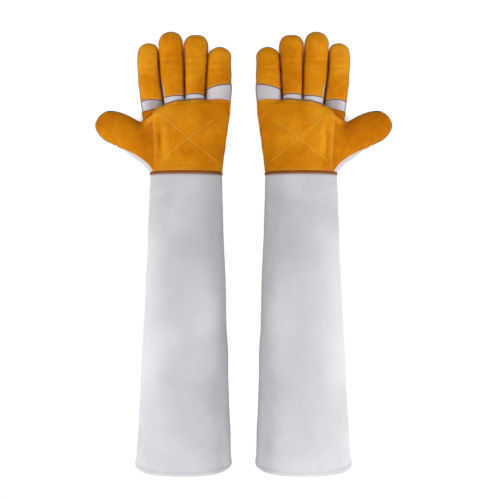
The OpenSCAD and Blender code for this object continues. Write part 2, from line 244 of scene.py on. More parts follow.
def finger_core(finger, y):
    """A finger's half-height, the share of its rounded end passed, and its middle's height."""
    cap_y = finger.tip - finger.cap
    half_z = finger.half_z(np.minimum(y, cap_y))
    end = np.maximum(y - cap_y, 0) / finger.cap
    # the end droops a little towards the surface it lies on
    return half_z, end, half_z - 0.4 + finger.lift - 0.9 * end**2


def finger_body(finger, x, y, z):
    half_z, end, mid_z = finger_core(finger, y)
    half_x = finger.half_x(np.minimum(y, finger.tip - finger.cap))
    past = end + np.maximum(86.0 - y, 0) / 9.0
    across, up = (x - finger.mid_x(y)) / half_x, (z - mid_z) / half_z
    return body_distance(across, up, past, half_x, half_z, finger.cap, 2.25, finger.end_power)


def thumb_body(x, y, z):
    along, across = thumb_axes(x, y)
    half_x, half_z = THUMB_HALF_X(along), THUMB_HALF_Z(along)
    past = np.maximum(along - 50.0, 0) / 31.2 + np.maximum(-16.0 - along, 0) / 11.0
    across, up = (across - THUMB_SHIFT(along)) / half_x, (z - (half_z - 0.5)) / half_z
    return body_distance(across, up, past, half_x, half_z, 30.0, 2.25, 2.12)


BROAD_RIPPLE, FINE_RIPPLE = waves(3, 34.0), waves(11, 15.0)
# y of the crease below the middle and ring fingers, over x
CREASE_Y = curve([37, 56, 75, 86, 95, 99], [103.3, 102.1, 100.3, 97.4, 95.8, 94.6])


def web_axes(x, y):
    """Distance past the crease from the thumb's web to the patch's corner, and along it."""
    return (x - 120.8) * 0.57 + (y - 72.9) * 0.822, (x - 120.8) * -0.822 + (y - 72.9) * 0.57


def fold_x(y):
    """Middle of the fold beside the palm patch's thumb seam."""
    return 97.0 + 0.035 * (y - 43)


def relief(x, y, z):
    """How far the leather stands out from its even shape."""
    top = fade(8, 20, z)
    ripple = 0.30 * BROAD_RIPPLE(x, y) + 0.15 * FINE_RIPPLE(x, y + 0.6 * z)
    rise = ripple * fade(0.5, 10, y) - 0.9 * fade(4.0, 0.0, y)
    # the fold beside the seam, with a ridge next to it
    fold = bell(x - fold_x(y), 3.4) * fade(12, 34, y) * fade(74, 52, y)
    ridge = bell(x - fold_x(y) + 8.5, 5.5) * fade(8, 34, y) * fade(78, 50, y)
    rise = rise + fade(20, 30, z) * (-2.6 * fold + 1.25 * ridge)
    # soft hollow past the web crease, with a ridge before it
    past, along = web_axes(x, y)
    run = fade(-6, 3, along) * fade(30, 18, along) * top
    rise = rise - 2.0 * fade(-0.6, 2.6, past) * fade(17, 5, past) * run
    rise = rise + 1.1 * bell(past + 3.5, 3.6) * run
    # hollow across the thumb's root
    along, across = thumb_axes(x, y)
    hollow = 0.8 * bell(along - 16 - 0.35 * across, 5.0) * fade(-2, 6, along)
    return rise - hollow * fade(25, 12, np.abs(across)) * fade(10, 18, z) * (x > 112)


def crease(x, y, z):
    """The crease below the middle and ring fingers."""
    depth = bell(y - CREASE_Y(x), 1.35) * fade(35.5, 39, x) * fade(98.5, 95, x)
    return -3.0 * depth * fade(13, 19, z)


def finger_side(finger, x, y):
    """Place across a finger: -1 towards the little-finger edge, 1 towards the thumb."""
    return (x - finger.mid_x(y)) / finger.half_x(y)


def finger_relief(finger, x, y, z):
    """Creases where the finger folds, and slight puffing between them."""
    side = finger_side(finger, x, y)
    bow = 2.2 * side * side
    past = y - (finger.joint[0] + finger.joint[1]) / 2
    rise = -0.5 * bell(past - bow, 1.8) - 0.32 * bell(past - 9 - 1.5 * bow, 1.6)
    rise = rise - 0.35 * bell(past + 10 + bow, 2.0)
    rise = rise + 0.45 * bell(past - 4.5, 3.2) + 0.4 * bell(past + 5, 3.6)
    start = fade(finger.cut + 3, finger.cut + 12, y)
    return rise * fade(10, 18, z) * (1 - 0.5 * side * side) * start


def finger_union(finger, x, y, z, palm):
    return soft_min(palm, finger_body(finger, x, y, z), 5.0)


def ground(value, z):
    return soft_max(value, -z, 3.5)


def finger_surface(finger):
    def surface(points):
        x, y, z = points.T
        value = finger_union(finger, x, y, z, palm_body(x, y, z))
        rise = relief(x, y, z) + crease(x, y, z) + finger_relief(finger, x, y, z)
        return ground(value - rise, z)

    return surface


def hand_surface(points):
    x, y, z = points.T
    palm = palm_body(x, y, z)
    value = palm.copy()
    near = y > 68  # only here do the fingers matter
    for finger in FINGERS.values():
        joined = finger_union(finger, x[near], y[near], z[near], palm[near])
        value[near] = np.minimum(value[near], joined)
    value = soft_min(value, thumb_body(x, y, z), 8.0)
    return ground(value - relief(x, y, z) - crease(x, y, z), z)


# ------------------------------------------------------------------ mesh tools
def gradient(surface, points, offset=0.05):
    slope = np.empty_like(points)
    for i in range(3):
        after, before = points.copy(), points.copy()
        after[:, i] += offset
        before[:, i] -= offset
        slope[:, i] = (surface(after) - surface(before)) / (2 * offset)
    return slope


def project(surface, points, rounds, longest=1.5):
    """Moves points onto the surface, by no more than longest in each round."""
    for _ in range(rounds):
        slope = gradient(surface, points)
        move = slope * (surface(points) / (np.sum(slope * slope, 1) + 1e-9))[:, None]
        length = np.linalg.norm(move, axis=1)
        move *= (np.minimum(length, longest) / (length + 1e-12))[:, None]
        points = points - move
    return points


def normals_of(surface, points):
    slope = gradient(surface, points)
    return slope / (np.linalg.norm(slope, axis=1)[:, None] + 1e-12)


def surface_net(surface, low, high):
    """Triangles over the surface's zero level in a box: one vertex for each crossed cell."""
    axes = [np.arange(low[i], high[i] + STEP, STEP) for i in range(3)]
    shape = tuple(len(axis) for axis in axes)
    grid = np.stack([part.ravel() for part in np.meshgrid(*axes, indexing="ij")], 1)
    inside = (surface(grid) < 0).reshape(shape)
    corners_in = np.zeros(tuple(size - 1 for size in shape), int)
    for i in (0, 1):
        for j in (0, 1):
            for k in (0, 1):
                corners_in += inside[
                    i : shape[0] - 1 + i, j : shape[1] - 1 + j, k : shape[2] - 1 + k
                ]
    crossed = (corners_in > 0) & (corners_in < 8)
    ids = np.zeros(crossed.shape, int)
    ids[crossed] = np.arange(crossed.sum())
    cells = np.argwhere(crossed)
    verts = np.stack([axes[i][cells[:, i]] + STEP / 2 for i in range(3)], 1)
    quads = []
    for axis in range(3):
        first, second = [i for i in range(3) if i != axis]
        here, beyond = [slice(1, -1)] * 3, [slice(1, -1)] * 3
        here[axis], beyond[axis] = slice(0, -1), slice(1, None)
        near, far = inside[tuple(here)], inside[tuple(beyond)]
        spots = np.argwhere(near != far)
        leaving = near[tuple(spots.T)]
        spots[:, [first, second]] += 1
        corners = []
        for shift in ((-1, -1), (0, -1), (0, 0), (-1, 0)):
            cell = spots.copy()
            cell[:, [first, second]] += shift
            corners.append(ids[tuple(cell.T)])
        quad = np.stack(corners, 1)
        flip = leaving if axis == 1 else ~leaving
        quad[flip] = quad[flip][:, ::-1]
        quads.append(quad)
    quads = np.concatenate(quads)
    verts = even_out(surface, project(surface, verts, 5), quads)
    # each quad is cut along its shorter diagonal
    one = np.linalg.norm(verts[quads[:, 0]] - verts[quads[:, 2]], axis=1)
    other = np.linalg.norm(verts[quads[:, 1]] - verts[quads[:, 3]], axis=1)
    short, rest = quads[one <= other], quads[one > other]
    return verts, np.concatenate(
        [short[:, [0, 1, 2]], short[:, [0, 2, 3]], rest[:, [0, 1, 3]], rest[:, [1, 2, 3]]]
    )


def even_out(surface, verts, quads):
    """Spaces the vertices evenly, sliding them along the surface."""
    size = len(verts)
    for _ in range(3):
        total, count = np.zeros((size, 3)), np.zeros(size)
        for i, j in ((0, 1), (1, 2), (2, 3), (3, 0)):
            for start, end in ((i, j), (j, i)):
                for k in range(3):
                    total[:, k] += np.bincount(quads[:, start], verts[quads[:, end], k], size)
                count += np.bincount(quads[:, start], minlength=size)
        normals = normals_of(surface, verts)
        move = total / np.maximum(count, 1)[:, None] - verts
        move -= normals * np.sum(move * normals, 1)[:, None]
        verts = project(surface, verts + 0.6 * move, 1)
    return verts


def side_edges(tris):
    return np.concatenate([tris[:, [0, 1]], tris[:, [1, 2]], tris[:, [2, 0]]])


def split(surface, verts, tris, field, level):
    """Cuts the triangles along field == level; also returns field - level at the vertices."""
    value = field(verts) - level
    value[np.abs(value) < 0.06] = 0.0
    sign = np.sign(value)
    ends = np.sort(side_edges(tris), 1)
    cross = sign[ends[:, 0]] * sign[ends[:, 1]] < 0
    if not cross.any():
        return verts, tris, value
    key = ends[:, 0].astype(np.int64) * len(verts) + ends[:, 1]
    keys, order = np.unique(key[cross], return_inverse=True)
    low, high = keys // len(verts), keys % len(verts)
    share = value[low] / (value[low] - value[high])
    fresh = verts[low] + (verts[high] - verts[low]) * share[:, None]
    fresh = project(surface, fresh, 2, 0.4)
    edge_vert = -np.ones(len(ends), int)
    edge_vert[cross] = len(verts) + order
    edge_vert = edge_vert.reshape(3, -1).T
    cut = edge_vert >= 0
    count = cut.sum(1)
    out = [tris[count == 0]]
    for k in range(3):
        # vertex k alone on its side: the edges k and k-1 are crossed
        chosen = (count == 2) & cut[:, k] & cut[:, (k - 1) % 3]
        if chosen.any():
            old, new = np.roll(tris[chosen], -k, 1), np.roll(edge_vert[chosen], -k, 1)
            out += [
                np.stack([old[:, 0], new[:, 0], new[:, 2]], 1),
                np.stack([new[:, 0], old[:, 1], old[:, 2]], 1),
                np.stack([new[:, 0], old[:, 2], new[:, 2]], 1),
            ]
        # only the edge opposite vertex k is crossed
        chosen = (count == 1) & cut[:, (k + 1) % 3]
        if chosen.any():
            old, new = np.roll(tris[chosen], -k, 1), np.roll(edge_vert[chosen], -k, 1)
            out += [
                np.stack([old[:, 0], old[:, 1], new[:, 1]], 1),
                np.stack([old[:, 0], new[:, 1], old[:, 2]], 1),
            ]
    value = np.concatenate([value, np.zeros(len(fresh))])
    return np.concatenate([verts, fresh]), np.concatenate(out), value


def compact(verts, tris, *arrays):
    """Drops the vertices no triangle uses."""
    used, order = np.unique(tris, return_inverse=True)
    return (verts[used], order.reshape(tris.shape)) + tuple(array[used] for array in arrays)


def clip(surface, verts, tris, field):
    """Keeps the side where field is positive."""
    verts, tris, value = split(surface, verts, tris, field, 0.0)
    return compact(verts, tris[value[tris].sum(1) > 0])


def chains(edges):
    """Joins edges into ordered runs of vertex numbers, each with whether it closes."""
    linked = {}
    for start, end in edges.tolist():
        linked.setdefault(start, set()).add(end)
        linked.setdefault(end, set()).add(start)

    def walk(current):
        run = [current]
        while linked[current]:
            following = linked[current].pop()
            linked[following].discard(current)
            run.append(following)
            current = following
        return run

    runs = []
    for vert in sorted(linked):
        if len(linked[vert]) == 1:
            runs.append((walk(vert), False))
    for vert in sorted(linked):
        if linked[vert]:
            run = walk(vert)
            closed = run[0] == run[-1]
            runs.append((run[:-1] if closed else run, closed))
    return runs


def isoline(surface, verts, tris, field, level, where=None):
    """Ordered lines of points along field == level, each with whether it closes."""
    verts, tris, value = split(surface, verts, tris, field, level)
    edges = side_edges(tris)
    on_line = value == 0
    edges = edges[on_line[edges[:, 0]] & on_line[edges[:, 1]]]
    edges = np.unique(np.sort(edges, 1), axis=0)
    if where is not None:
        wanted = where(verts)
        edges = edges[wanted[edges[:, 0]] & wanted[edges[:, 1]]]
    return [(verts[run], closed) for run, closed in chains(edges) if len(run) >= 4]


def arc_lengths(points):
    steps = np.linalg.norm(np.diff(points, axis=0), axis=1)
    return np.concatenate([[0], np.cumsum(steps)])


def at_lengths(points, lengths, wanted):
    return np.stack([np.interp(wanted, lengths, column) for column in points.T], 1)


def resample(points, closed, pitch, smooth):
    """Evenly spaced points along a smoothed line, or None if it is shorter than the pitch."""
    if closed:
        points = np.concatenate([points, points[:1]])
    for _ in range(smooth):
        soft = points.copy()
        soft[1:-1] = 0.25 * points[:-2] + 0.5 * points[1:-1] + 0.25 * points[2:]
        if closed:
            soft[0] = soft[-1] = 0.25 * points[-2] + 0.5 * points[0] + 0.25 * points[1]
        points = soft
    lengths = arc_lengths(points)
    if lengths[-1] < pitch:
        return None
    count = max(2, int(round(lengths[-1] / pitch)))
    even = at_lengths(points, lengths, np.linspace(0, lengths[-1], count + 1))
    return even[:-1] if closed else even


def shell(outer, inner, tris):
    """A closed sheet between two copies of the same triangles."""
    size = len(outer)
    edges = side_edges(tris)
    ends = np.sort(edges, 1)
    key = ends[:, 0].astype(np.int64) * (tris.max() + 1) + ends[:, 1]
    _, first, count = np.unique(key, return_index=True, return_counts=True)
    start, end = edges[first[count == 1]].T
    rim = [
        np.stack([end, start, start + size], 1),
        np.stack([end, start + size, end + size], 1),
    ]
    return np.concatenate([outer, inner]), np.concatenate([tris, tris[:, ::-1] + size, *rim])


def tube(points, closed, high, wide, normals, sides):
    """A cord along the points; high and wide are its radii along and across the normals."""
    count = len(points)
    if closed:
        ahead = np.roll(points, -1, 0) - np.roll(points, 1, 0)
    else:
        ahead = np.gradient(points, axis=0)
    ahead /= np.linalg.norm(ahead, axis=1)[:, None] + 1e-12
    normals = normals - ahead * np.sum(normals * ahead, 1)[:, None]
    normals /= np.linalg.norm(normals, axis=1)[:, None] + 1e-12
    aside = np.cross(ahead, normals)
    high, wide = np.broadcast_to(high, (count,)), np.broadcast_to(wide, (count,))
    turn = np.arange(sides) * 2 * math.pi / sides
    verts = (
        points[:, None, :]
        + np.cos(turn)[None, :, None] * (aside * wide[:, None])[:, None, :]
        + np.sin(turn)[None, :, None] * (normals * high[:, None])[:, None, :]
    ).reshape(-1, 3)
    i = np.arange(count if closed else count - 1)[:, None]
    j = np.arange(sides)[None, :]
    i_next, j_next = (i + 1) % count, (j + 1) % sides
    corners = np.broadcast_arrays(
        i * sides + j, i * sides + j_next, i_next * sides + j_next, i_next * sides + j
    )
    one, two, three, four = [corner.ravel() for corner in corners]
    tris = [np.stack([one, four, three], 1), np.stack([one, three, two], 1)]
    if not closed:
        start, end = len(verts), len(verts) + 1
        caps = [points[0] - ahead[0] * wide[0] * 0.5, points[-1] + ahead[-1] * wide[-1] * 0.5]
        verts = np.concatenate([verts, caps])
        j = np.arange(sides)
        j_next = (j + 1) % sides
        last = (count - 1) * sides
        tris.append(np.stack([np.full(sides, start), j, j_next], 1))
        tris.append(np.stack([np.full(sides, end), last + j_next, last + j], 1))
    return verts, np.concatenate(tris)[:, ::-1]


def merge(parts):
    verts, faces, start = [], [], 0
    for part_verts, part_faces in parts:
        verts.append(part_verts)
        faces.append(part_faces + start)
        start += len(part_verts)
    return np.concatenate(verts), np.concatenate(faces)


# Along one stitch: height in radii, and thickness as a share of the radius.
STITCH_RISE = np.array([-0.75, 0.35, 0.7, 0.7, 0.35, -0.75])
STITCH_GIRTH = np.array([0.55, 0.9, 1.0, 1.0, 0.9, 0.55])


def stitches(surface, line, closed, length, gap, radius, lift, seed, keep=None):
    """Short thread stitches lying on the surface along the line."""
    line = resample(line, closed, 0.6, 2)
    if line is None:
        return []
    lengths = arc_lengths(line)
    draw = np.random.RandomState(seed)
    pitch = length + gap
    points = []
    for j in range(int(lengths[-1] / pitch)):
        middle = (j + 0.5) * pitch + draw.uniform(-0.12, 0.12)
        places = middle + np.linspace(-0.5, 0.5, 6) * length * draw.uniform(0.93, 1.05)
        points.append(at_lengths(line, lengths, places))
    if not points:
        return []
    points = np.concatenate(points)
    normals = normals_of(surface, points).reshape(-1, 6, 3)
    rise, girth = STITCH_RISE * radius + lift, STITCH_GIRTH * radius
    out = []
    for stitch, normal in zip(points.reshape(-1, 6, 3), normals):
        # none where the leather turns down towards the floor
        if (keep is not None and not keep(stitch.mean(0))) or normal[:, 2].min() < 0.3:
            continue
        out.append(tube(stitch + normal * rise[:, None], False, girth, girth, normal, 6))
    return out


def welt_lines(surface, verts, tris, field, level, where=None):
    """Smoothed lines for welts along field == level; always open where a mask cuts them."""
    lines = []
    for line, closed in isoline(surface, verts, tris, field, level, where):
        closed = closed and where is None
        line = resample(line, closed, 1.1, 3)
        if line is not None and len(line) > 3:
            lines.append((line, closed))
    return lines


def welt(surface, line, radius, rise):
    normals = normals_of(surface, line)
    return tube(line + normals * rise, False, radius, radius, normals, 8)


def runs_of(points, closed, mask):
    """The stretches of a line where the mask holds."""
    if closed and (~mask).any():
        first = int(np.argmax(~mask))
        points, mask = np.roll(points, -first, 0), np.roll(mask, -first)
    runs, current = [], []
    for i in range(len(points)):
        if mask[i]:
            current.append(i)
        elif current:
            runs.append(points[current])
            current = []
    if current:
        runs.append(points[current])
    return [run for run in runs if len(run) > 3]


# ------------------------------------------------------------------ objects
def add_mesh(name, verts, faces, material, attrs=None, normals=None, smooth=True):
    mesh = bpy.data.meshes.new(name)
    verts, faces = np.asarray(verts, np.float32), np.asarray(faces, np.int32)
    count, corners = faces.shape
    mesh.vertices.add(len(verts))
    mesh.vertices.foreach_set("co", verts.ravel())
    mesh.loops.add(faces.size)
    mesh.loops.foreach_set("vertex_index", faces.ravel())
    mesh.polygons.add(count)
    starts = np.arange(0, faces.size, corners, dtype=np.int32)
    mesh.polygons.foreach_set("loop_start", starts)
    mesh.polygons.foreach_set("loop_total", np.full(count, corners, np.int32))
    mesh.polygons.foreach_set("use_smooth", np.full(count, smooth))
    mesh.update(calc_edges=True)
    mesh.validate()
    for key, values in (attrs or {}).items():
        layer = mesh.attributes.new(key, "FLOAT", "POINT")
        layer.data.foreach_set("value", np.asarray(values, np.float32))
    if normals is not None:
        mesh.normals_split_custom_set_from_vertices(np.asarray(normals, float).tolist())
    mesh.materials.append(material)
    obj = bpy.data.objects.new(name, mesh)
    bpy.context.scene.collection.objects.link(obj)
    return obj


def place(points, side):
    """Glove millimetres to world metres; side is 1 for the right glove, -1 for the left."""
    points = np.asarray(points, float)
    world = np.empty_like(points)
    world[..., 0] = (EDGE_X + points[..., 0]) * side
    world[..., 1] = SEAM_Y + points[..., 1]
    world[..., 2] = points[..., 2]
    return world / 1000.0


def emit(name, verts, faces, look, how, replaced=(), attrs=None, normals=None):
    """Makes a right-hand piece and its mirror image.

    how is (body,) to ride on it; with (body, next body, start, end) the piece stays fixed where it
    is, and those entries are not used.
    """
    material, slot = LOOKS[look]
    for side, prefix in ((1, "right_"), (-1, "left_")):
        turned = normals
        if normals is not None:
            turned = normals.copy()
            turned[:, 0] *= side
        obj = add_mesh(
            prefix + name + "_surface", place(verts, side),
            faces if side > 0 else faces[:, ::-1], material, attrs, turned,
        )
        if len(how) == 1:
            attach(obj, prefix + how[0])
        else:
            start, end = place(how[2], side), place(how[3], side)
            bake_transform(obj)
        if replaced:
            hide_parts(*[prefix + node for node in replaced])


def emit_cords(name, parts, look, how, attrs_of=None):
    """One piece from all the tubes, if there are any."""
    if parts:
        verts, tris = merge(parts)
        emit(name, verts, tris, look, how, attrs=attrs_of(verts) if attrs_of else None)


# ------------------------------------------------------------------ materials
class Shader:
    """A material with a Principled shader, and short ways to add nodes to it."""

    def __init__(self, name):
        self.material = bpy.data.materials.new(name)
        self.material.use_nodes = True
        self.tree = self.material.node_tree
        self.tree.nodes.clear()
        self.output = self.node("OutputMaterial")
        self.surface = self.node("BsdfPrincipled")
        self.link(self.surface.outputs[0], self.output.inputs[0])
        self.object_place = self.node("TexCoord").outputs["Object"]

    def node(self, kind):
        return self.tree.nodes.new("ShaderNode" + kind)

    def link(self, source, target):
        self.tree.links.new(source, target)

    def put(self, socket, value):
        """Links an output to the socket, or sets it to a number or colour."""
        if hasattr(value, "is_output"):
            self.link(value, socket)
        elif isinstance(value, (tuple, list)):
            socket.default_value = (*value, 1)
        else:
            socket.default_value = value

    def squeezed(self, y=1, turn=0):
        """Object coordinates scaled along y and turned about z."""
        node = self.node("Mapping")
        node.inputs["Scale"].default_value = (1, y, 1)
        node.inputs["Rotation"].default_value = (0, 0, turn)
        self.link(self.object_place, node.inputs["Vector"])
        return node.outputs[0]

    def noise(self, scale, detail=2.0, rough=0.5, distortion=0.0, vector=None):
        node = self.node("TexNoise")
        node.inputs["Scale"].default_value = scale
        node.inputs["Detail"].default_value = detail
        node.inputs["Roughness"].default_value = rough
        node.inputs["Distortion"].default_value = distortion
        self.link(vector or self.object_place, node.inputs["Vector"])
        return node.outputs["Fac"]

    def voronoi(self, scale, vector):
        node = self.node("TexVoronoi")
        node.inputs["Scale"].default_value = scale
        self.link(vector, node.inputs["Vector"])
        return node.outputs["Distance"]

    def wave(self, scale, distortion, direction="X", vector=None):
        node = self.node("TexWave")
        node.bands_direction = direction
        node.inputs["Scale"].default_value = scale
        node.inputs["Distortion"].default_value = distortion
        self.link(vector or self.object_place, node.inputs["Vector"])
        return node.outputs["Fac"]

    def ramp(self, factor, *stops):
        """A colour ramp; each stop is its position and colour."""
        node = self.node("ValToRGB")
        elements = node.color_ramp.elements
        while len(elements) > 1:
            elements.remove(elements[-1])
        elements[0].position, elements[0].color = stops[0][0], (*stops[0][1], 1)
        for position, color in stops[1:]:
            elements.new(position).color = (*color, 1)
        self.link(factor, node.inputs[0])
        return node.outputs[0]

    def greys(self, factor, low, high, start=0.3, end=0.7):
        return self.ramp(factor, (start, (low,) * 3), (end, (high,) * 3))

    def mix(self, factor, under, over, blend="MIX"):
        node = self.node("Mix")
        node.data_type = "RGBA"
        node.blend_type = blend
        self.put(node.inputs[0], factor)
        self.put(node.inputs[6], under)
        self.put(node.inputs[7], over)
        return node.outputs[2]

    def tone(self, color, factor, weight, low, high, start=0.3, end=0.7, blend="OVERLAY"):
        """Darkens and lightens a colour by a texture."""
        return self.mix(weight, color, self.greys(factor, low, high, start, end), blend)

    def times(self, one, other):
        node = self.node("Math")
        node.operation = "MULTIPLY"
        self.put(node.inputs[0], one)
        self.put(node.inputs[1], other)
        return node.outputs[0]

    def attr(self, name):
        node = self.node("Attribute")
        node.attribute_name = name
        return node.outputs["Fac"]

    def bump(self, height, strength, distance, under=None):
        node = self.node("Bump")
        node.inputs["Strength"].default_value = strength
        node.inputs["Distance"].default_value = distance
        self.link(height, node.inputs["Height"])
        if under is not None:
            self.link(under, node.inputs["Normal"])
        return node.outputs[0]

    def finish(self, color, rough, normal, specular, sheen=0.0, sheen_rough=0.5, tint=(1, 1, 1)):
        values = {
            "Base Color": color, "Roughness": rough, "Normal": normal, "Sheen Weight": sheen,
            "Sheen Roughness": sheen_rough, "Sheen Tint": tint, "Specular IOR Level": specular,
        }
        for key, value in values.items():
            self.put(self.surface.inputs[key], value)
        return self.material


def srgb(*levels):
    """A linear colour from 0-255 levels."""

    def linear(level):
        level /= 255.0
        return level / 12.92 if level <= 0.04045 else ((level + 0.055) / 1.055) ** 2.4

    return tuple(linear(level) for level in levels)


def suede(name, base, dark, light, orange):
    shader = Shader(name)
    big = shader.noise(scale=24, detail=3, rough=0.55, distortion=0.3)
    mid = shader.noise(scale=95, detail=4, rough=0.6, vector=shader.squeezed(y=0.55, turn=0.3))
    fine = shader.noise(scale=900, detail=5, rough=0.7)
    nap = shader.noise(scale=1500, detail=3, rough=0.6, vector=shader.squeezed(y=0.3, turn=0.25))
    color = shader.ramp(big, (0.30, dark), (0.5, base), (0.70, light))
    blotches = shader.times(shader.greys(mid, low=0, high=1, start=0.35), 0.45)
    color = shader.mix(blotches, color, orange)
    cloud = shader.noise(scale=210, detail=3, rough=0.6, vector=shader.squeezed(y=0.7, turn=-0.5))
    color = shader.tone(color, cloud, weight=0.34, low=0.36, high=0.64, start=0.32, end=0.68)
    color = shader.tone(color, fine, weight=0.30, low=0.30, high=0.72, blend="SOFT_LIGHT")
    color = shader.tone(color, nap, weight=0.35, low=0.36, high=0.64)
    color = shader.mix(shader.times(shader.attr("edge"), 0.5), color, srgb(218, 172, 100))
    # painted highlight where the light falls brighter, then painted shade in creases, folds and
    # between the fingers
    color = shader.mix(shader.attr("worn"), color, srgb(255, 180, 44))
    color = shader.mix(shader.attr("shade"), color, srgb(112, 40, 2))
    normal = shader.bump(nap, strength=0.35, distance=0.0005)
    normal = shader.bump(fine, strength=0.35, distance=0.0005, under=normal)
    normal = shader.bump(mid, strength=0.25, distance=0.0012, under=normal)
    return shader.finish(
        color, shader.greys(mid, low=0.86, high=0.97), normal, specular=0.08,
        sheen=0.16, sheen_rough=0.45, tint=(light[0], light[1] * 0.9, light[2] * 0.4),
    )


def split_leather(name, base, dark, light, line, line_strength):
    shader = Shader(name)
    big = shader.noise(scale=9, detail=4, rough=0.6, distortion=0.4)
    mid = shader.noise(scale=42, detail=5, rough=0.65, vector=shader.squeezed(y=0.6, turn=-0.2))
    fine = shader.noise(scale=650, detail=5, rough=0.7)
    fibre = shader.noise(
        scale=1300, detail=4, rough=0.65, vector=shader.squeezed(y=0.35, turn=0.15)
    )
    vein = shader.voronoi(scale=120, vector=shader.squeezed(y=0.7))
    color = shader.ramp(big, (0.32, dark), (0.52, base), (0.75, light))
    tint = shader.ramp(mid, (0.3, (0.42, 0.42, 0.43)), (0.7, (0.585, 0.58, 0.575)))
    color = shader.mix(0.62, color, tint, "SOFT_LIGHT")
    # painted highlight and painted grey shade where the light falls brighter or dimmer
    color = shader.mix(shader.attr("worn"), color, srgb(234, 233, 238))
    color = shader.mix(shader.attr("dull"), color, srgb(181, 180, 185))
    color = shader.tone(color, fine, weight=0.35, low=0.40, high=0.6, blend="SOFT_LIGHT")
    color = shader.tone(color, fibre, weight=0.25, low=0.42, high=0.58)
    # where "edge" is set: painted shade in the hand's crease and between the fingers; on the sleeve,
    # a darker line along the hem's groove
    color = shader.mix(shader.times(shader.attr("edge"), line_strength), color, line)
    # painted brown shade on the index finger's grey band and painted shadow below the wrist welt
    color = shader.mix(shader.attr("shade"), color, srgb(112, 66, 38))
    normal = shader.bump(fibre, strength=0.30, distance=0.0005)
    normal = shader.bump(fine, strength=0.30, distance=0.0005, under=normal)
    normal = shader.bump(mid, strength=0.22, distance=0.0015, under=normal)
    normal = shader.bump(vein, strength=0.05, distance=0.001, under=normal)
    rough = shader.greys(mid, low=0.84, high=0.96)
    return shader.finish(color, rough, normal, specular=0.2, sheen=0.12, tint=light)


def thread(name, base):
    shader = Shader(name)
    twist = shader.wave(scale=900, distortion=1.5, vector=shader.squeezed(turn=0.8))
    color = shader.mix(twist, tuple(part * 0.86 for part in base), base)
    normal = shader.bump(twist, strength=0.5, distance=0.0002)
    return shader.finish(
        color, 0.75, normal, specular=0.3, sheen=0.2, sheen_rough=0.4, tint=base
    )


def cord(name, base, dark):
    shader = Shader(name)
    fine = shader.noise(scale=700, detail=4, rough=0.65)
    mid = shader.noise(scale=90, detail=3, rough=0.6)
    color = shader.ramp(mid, (0.3, dark), (0.7, base))
    color = shader.tone(color, fine, weight=0.3, low=0.3, high=0.7)
    # painted shade on the welts where they run between the fingers
    color = shader.mix(shader.attr("shade"), color, srgb(96, 40, 6))
    rough = shader.greys(fine, low=0.6, high=0.85)
    normal = shader.bump(fine, strength=0.3, distance=0.0004)
    return shader.finish(
        color, rough, normal, specular=0.3, sheen=0.1, sheen_rough=0.4, tint=base
    )


def canvas(name, base, dark):
    shader = Shader(name)
    weft = shader.wave(scale=420, distortion=0.6, direction="Y")
    warp = shader.wave(scale=420, distortion=0.6, direction="DIAGONAL")
    weave = shader.times(weft, warp)
    patches = shader.noise(scale=60, detail=4, rough=0.6)
    color = shader.mix(weave, dark, base)
    color = shader.tone(color, patches, weight=0.4, low=0.4, high=0.6)
    normal = shader.bump(weave, strength=0.5, distance=0.0004)
    return shader.finish(color, 0.95, normal, specular=0.1, sheen=0.2, tint=base)


GREY_DARK = srgb(196, 195, 201)
# Each look: its material and the slot it fills.
LOOKS = {
    "suede": (
        suede(
            "suede_gold", base=srgb(226, 144, 13), dark=srgb(209, 122, 7),
            light=srgb(241, 163, 26), orange=srgb(224, 129, 8),
        ),
        "suede_patch",
    ),
    # the same suede painted darker for the thumb's pieces: painted shade
    "suede_thumb": (
        suede(
            "suede_thumb", base=srgb(201, 120, 4), dark=srgb(182, 103, 2),
            light=srgb(213, 136, 10), orange=srgb(201, 110, 3),
        ),
        "suede_patch",
    ),
    "grey": (
        split_leather(
            "grey_split", base=srgb(206, 205, 210), dark=GREY_DARK, light=srgb(216, 215, 219),
            line=tuple(part * 0.55 for part in GREY_DARK), line_strength=0.5,
        ),
        "sleeve_leather",
    ),
    # its line colour is painted shade for the hand's crease and between the fingers
    "hand_grey": (
        split_leather(
            "grey_split_hand", base=srgb(220, 217, 224), dark=srgb(206, 203, 211),
            light=srgb(234, 231, 236), line=srgb(84, 42, 14), line_strength=0.92,
        ),
        "hand_leather",
    ),
    "welt": (
        cord("wrist_welt_leather", base=srgb(156, 84, 14), dark=srgb(128, 66, 10)), "wrist_welt"
    ),
    "slate": (cord("finger_welt", base=srgb(108, 90, 80), dark=srgb(78, 62, 56)), "hand_leather"),
    "thread": (thread("thread_orange", srgb(255, 202, 78)), "thread"),
    "thread_pale": (thread("thread_beige", srgb(222, 172, 96)), "thread"),
    "canvas": (
        canvas("lining_canvas", base=srgb(214, 206, 188), dark=srgb(170, 160, 138)),
        "cotton_lining",
    ),
}

# ------------------------------------------------------------------ panel borders
# Palm patch: x of its thumb edge over y, and y of its finger edge over x.
PATCH_EDGE_X = curve([0, 5, 44, 72, 82, 90], [103.6, 104.2, 106.6, 108.6, 108.6, 106.0])
PATCH_EDGE_Y = curve(
    [0, 6, 17, 37, 56, 75, 86, 95, 100, 104, 110],
    [101.4, 102.4, 102.9, 102.0, 100.7, 98.9, 95.9, 94.1, 92.3, 90.4, 87.0],
)
# y of the lower edge of the grey band below the index finger, over x
BAND_Y = curve([92, 97, 108, 123, 130], [93.4, 92.3, 89.0, 87.0, 86.6])
# z of the seam down the little-finger edge, over y
SIDE_Z = curve([0, 40, 80, 104], [24.2, 20.4, 16.0, 13.2])
# wrist-side edge of the thumb's leather, and its seam's height, over the distance along the thumb
THUMB_EDGE = curve(
    [-30, -27.2, -21.9, -12, 5.7, 16, 26.4, 34, 50],
    [29.5, 27.4, 24.4, 20.9, 18.8, 19.1, 19.5, 21.5, 44],
)
THUMB_SEAM_Z = curve([-20, 0, 20, 37, 58], [11.5, 13.0, 14.6, 13.4, 11.8])


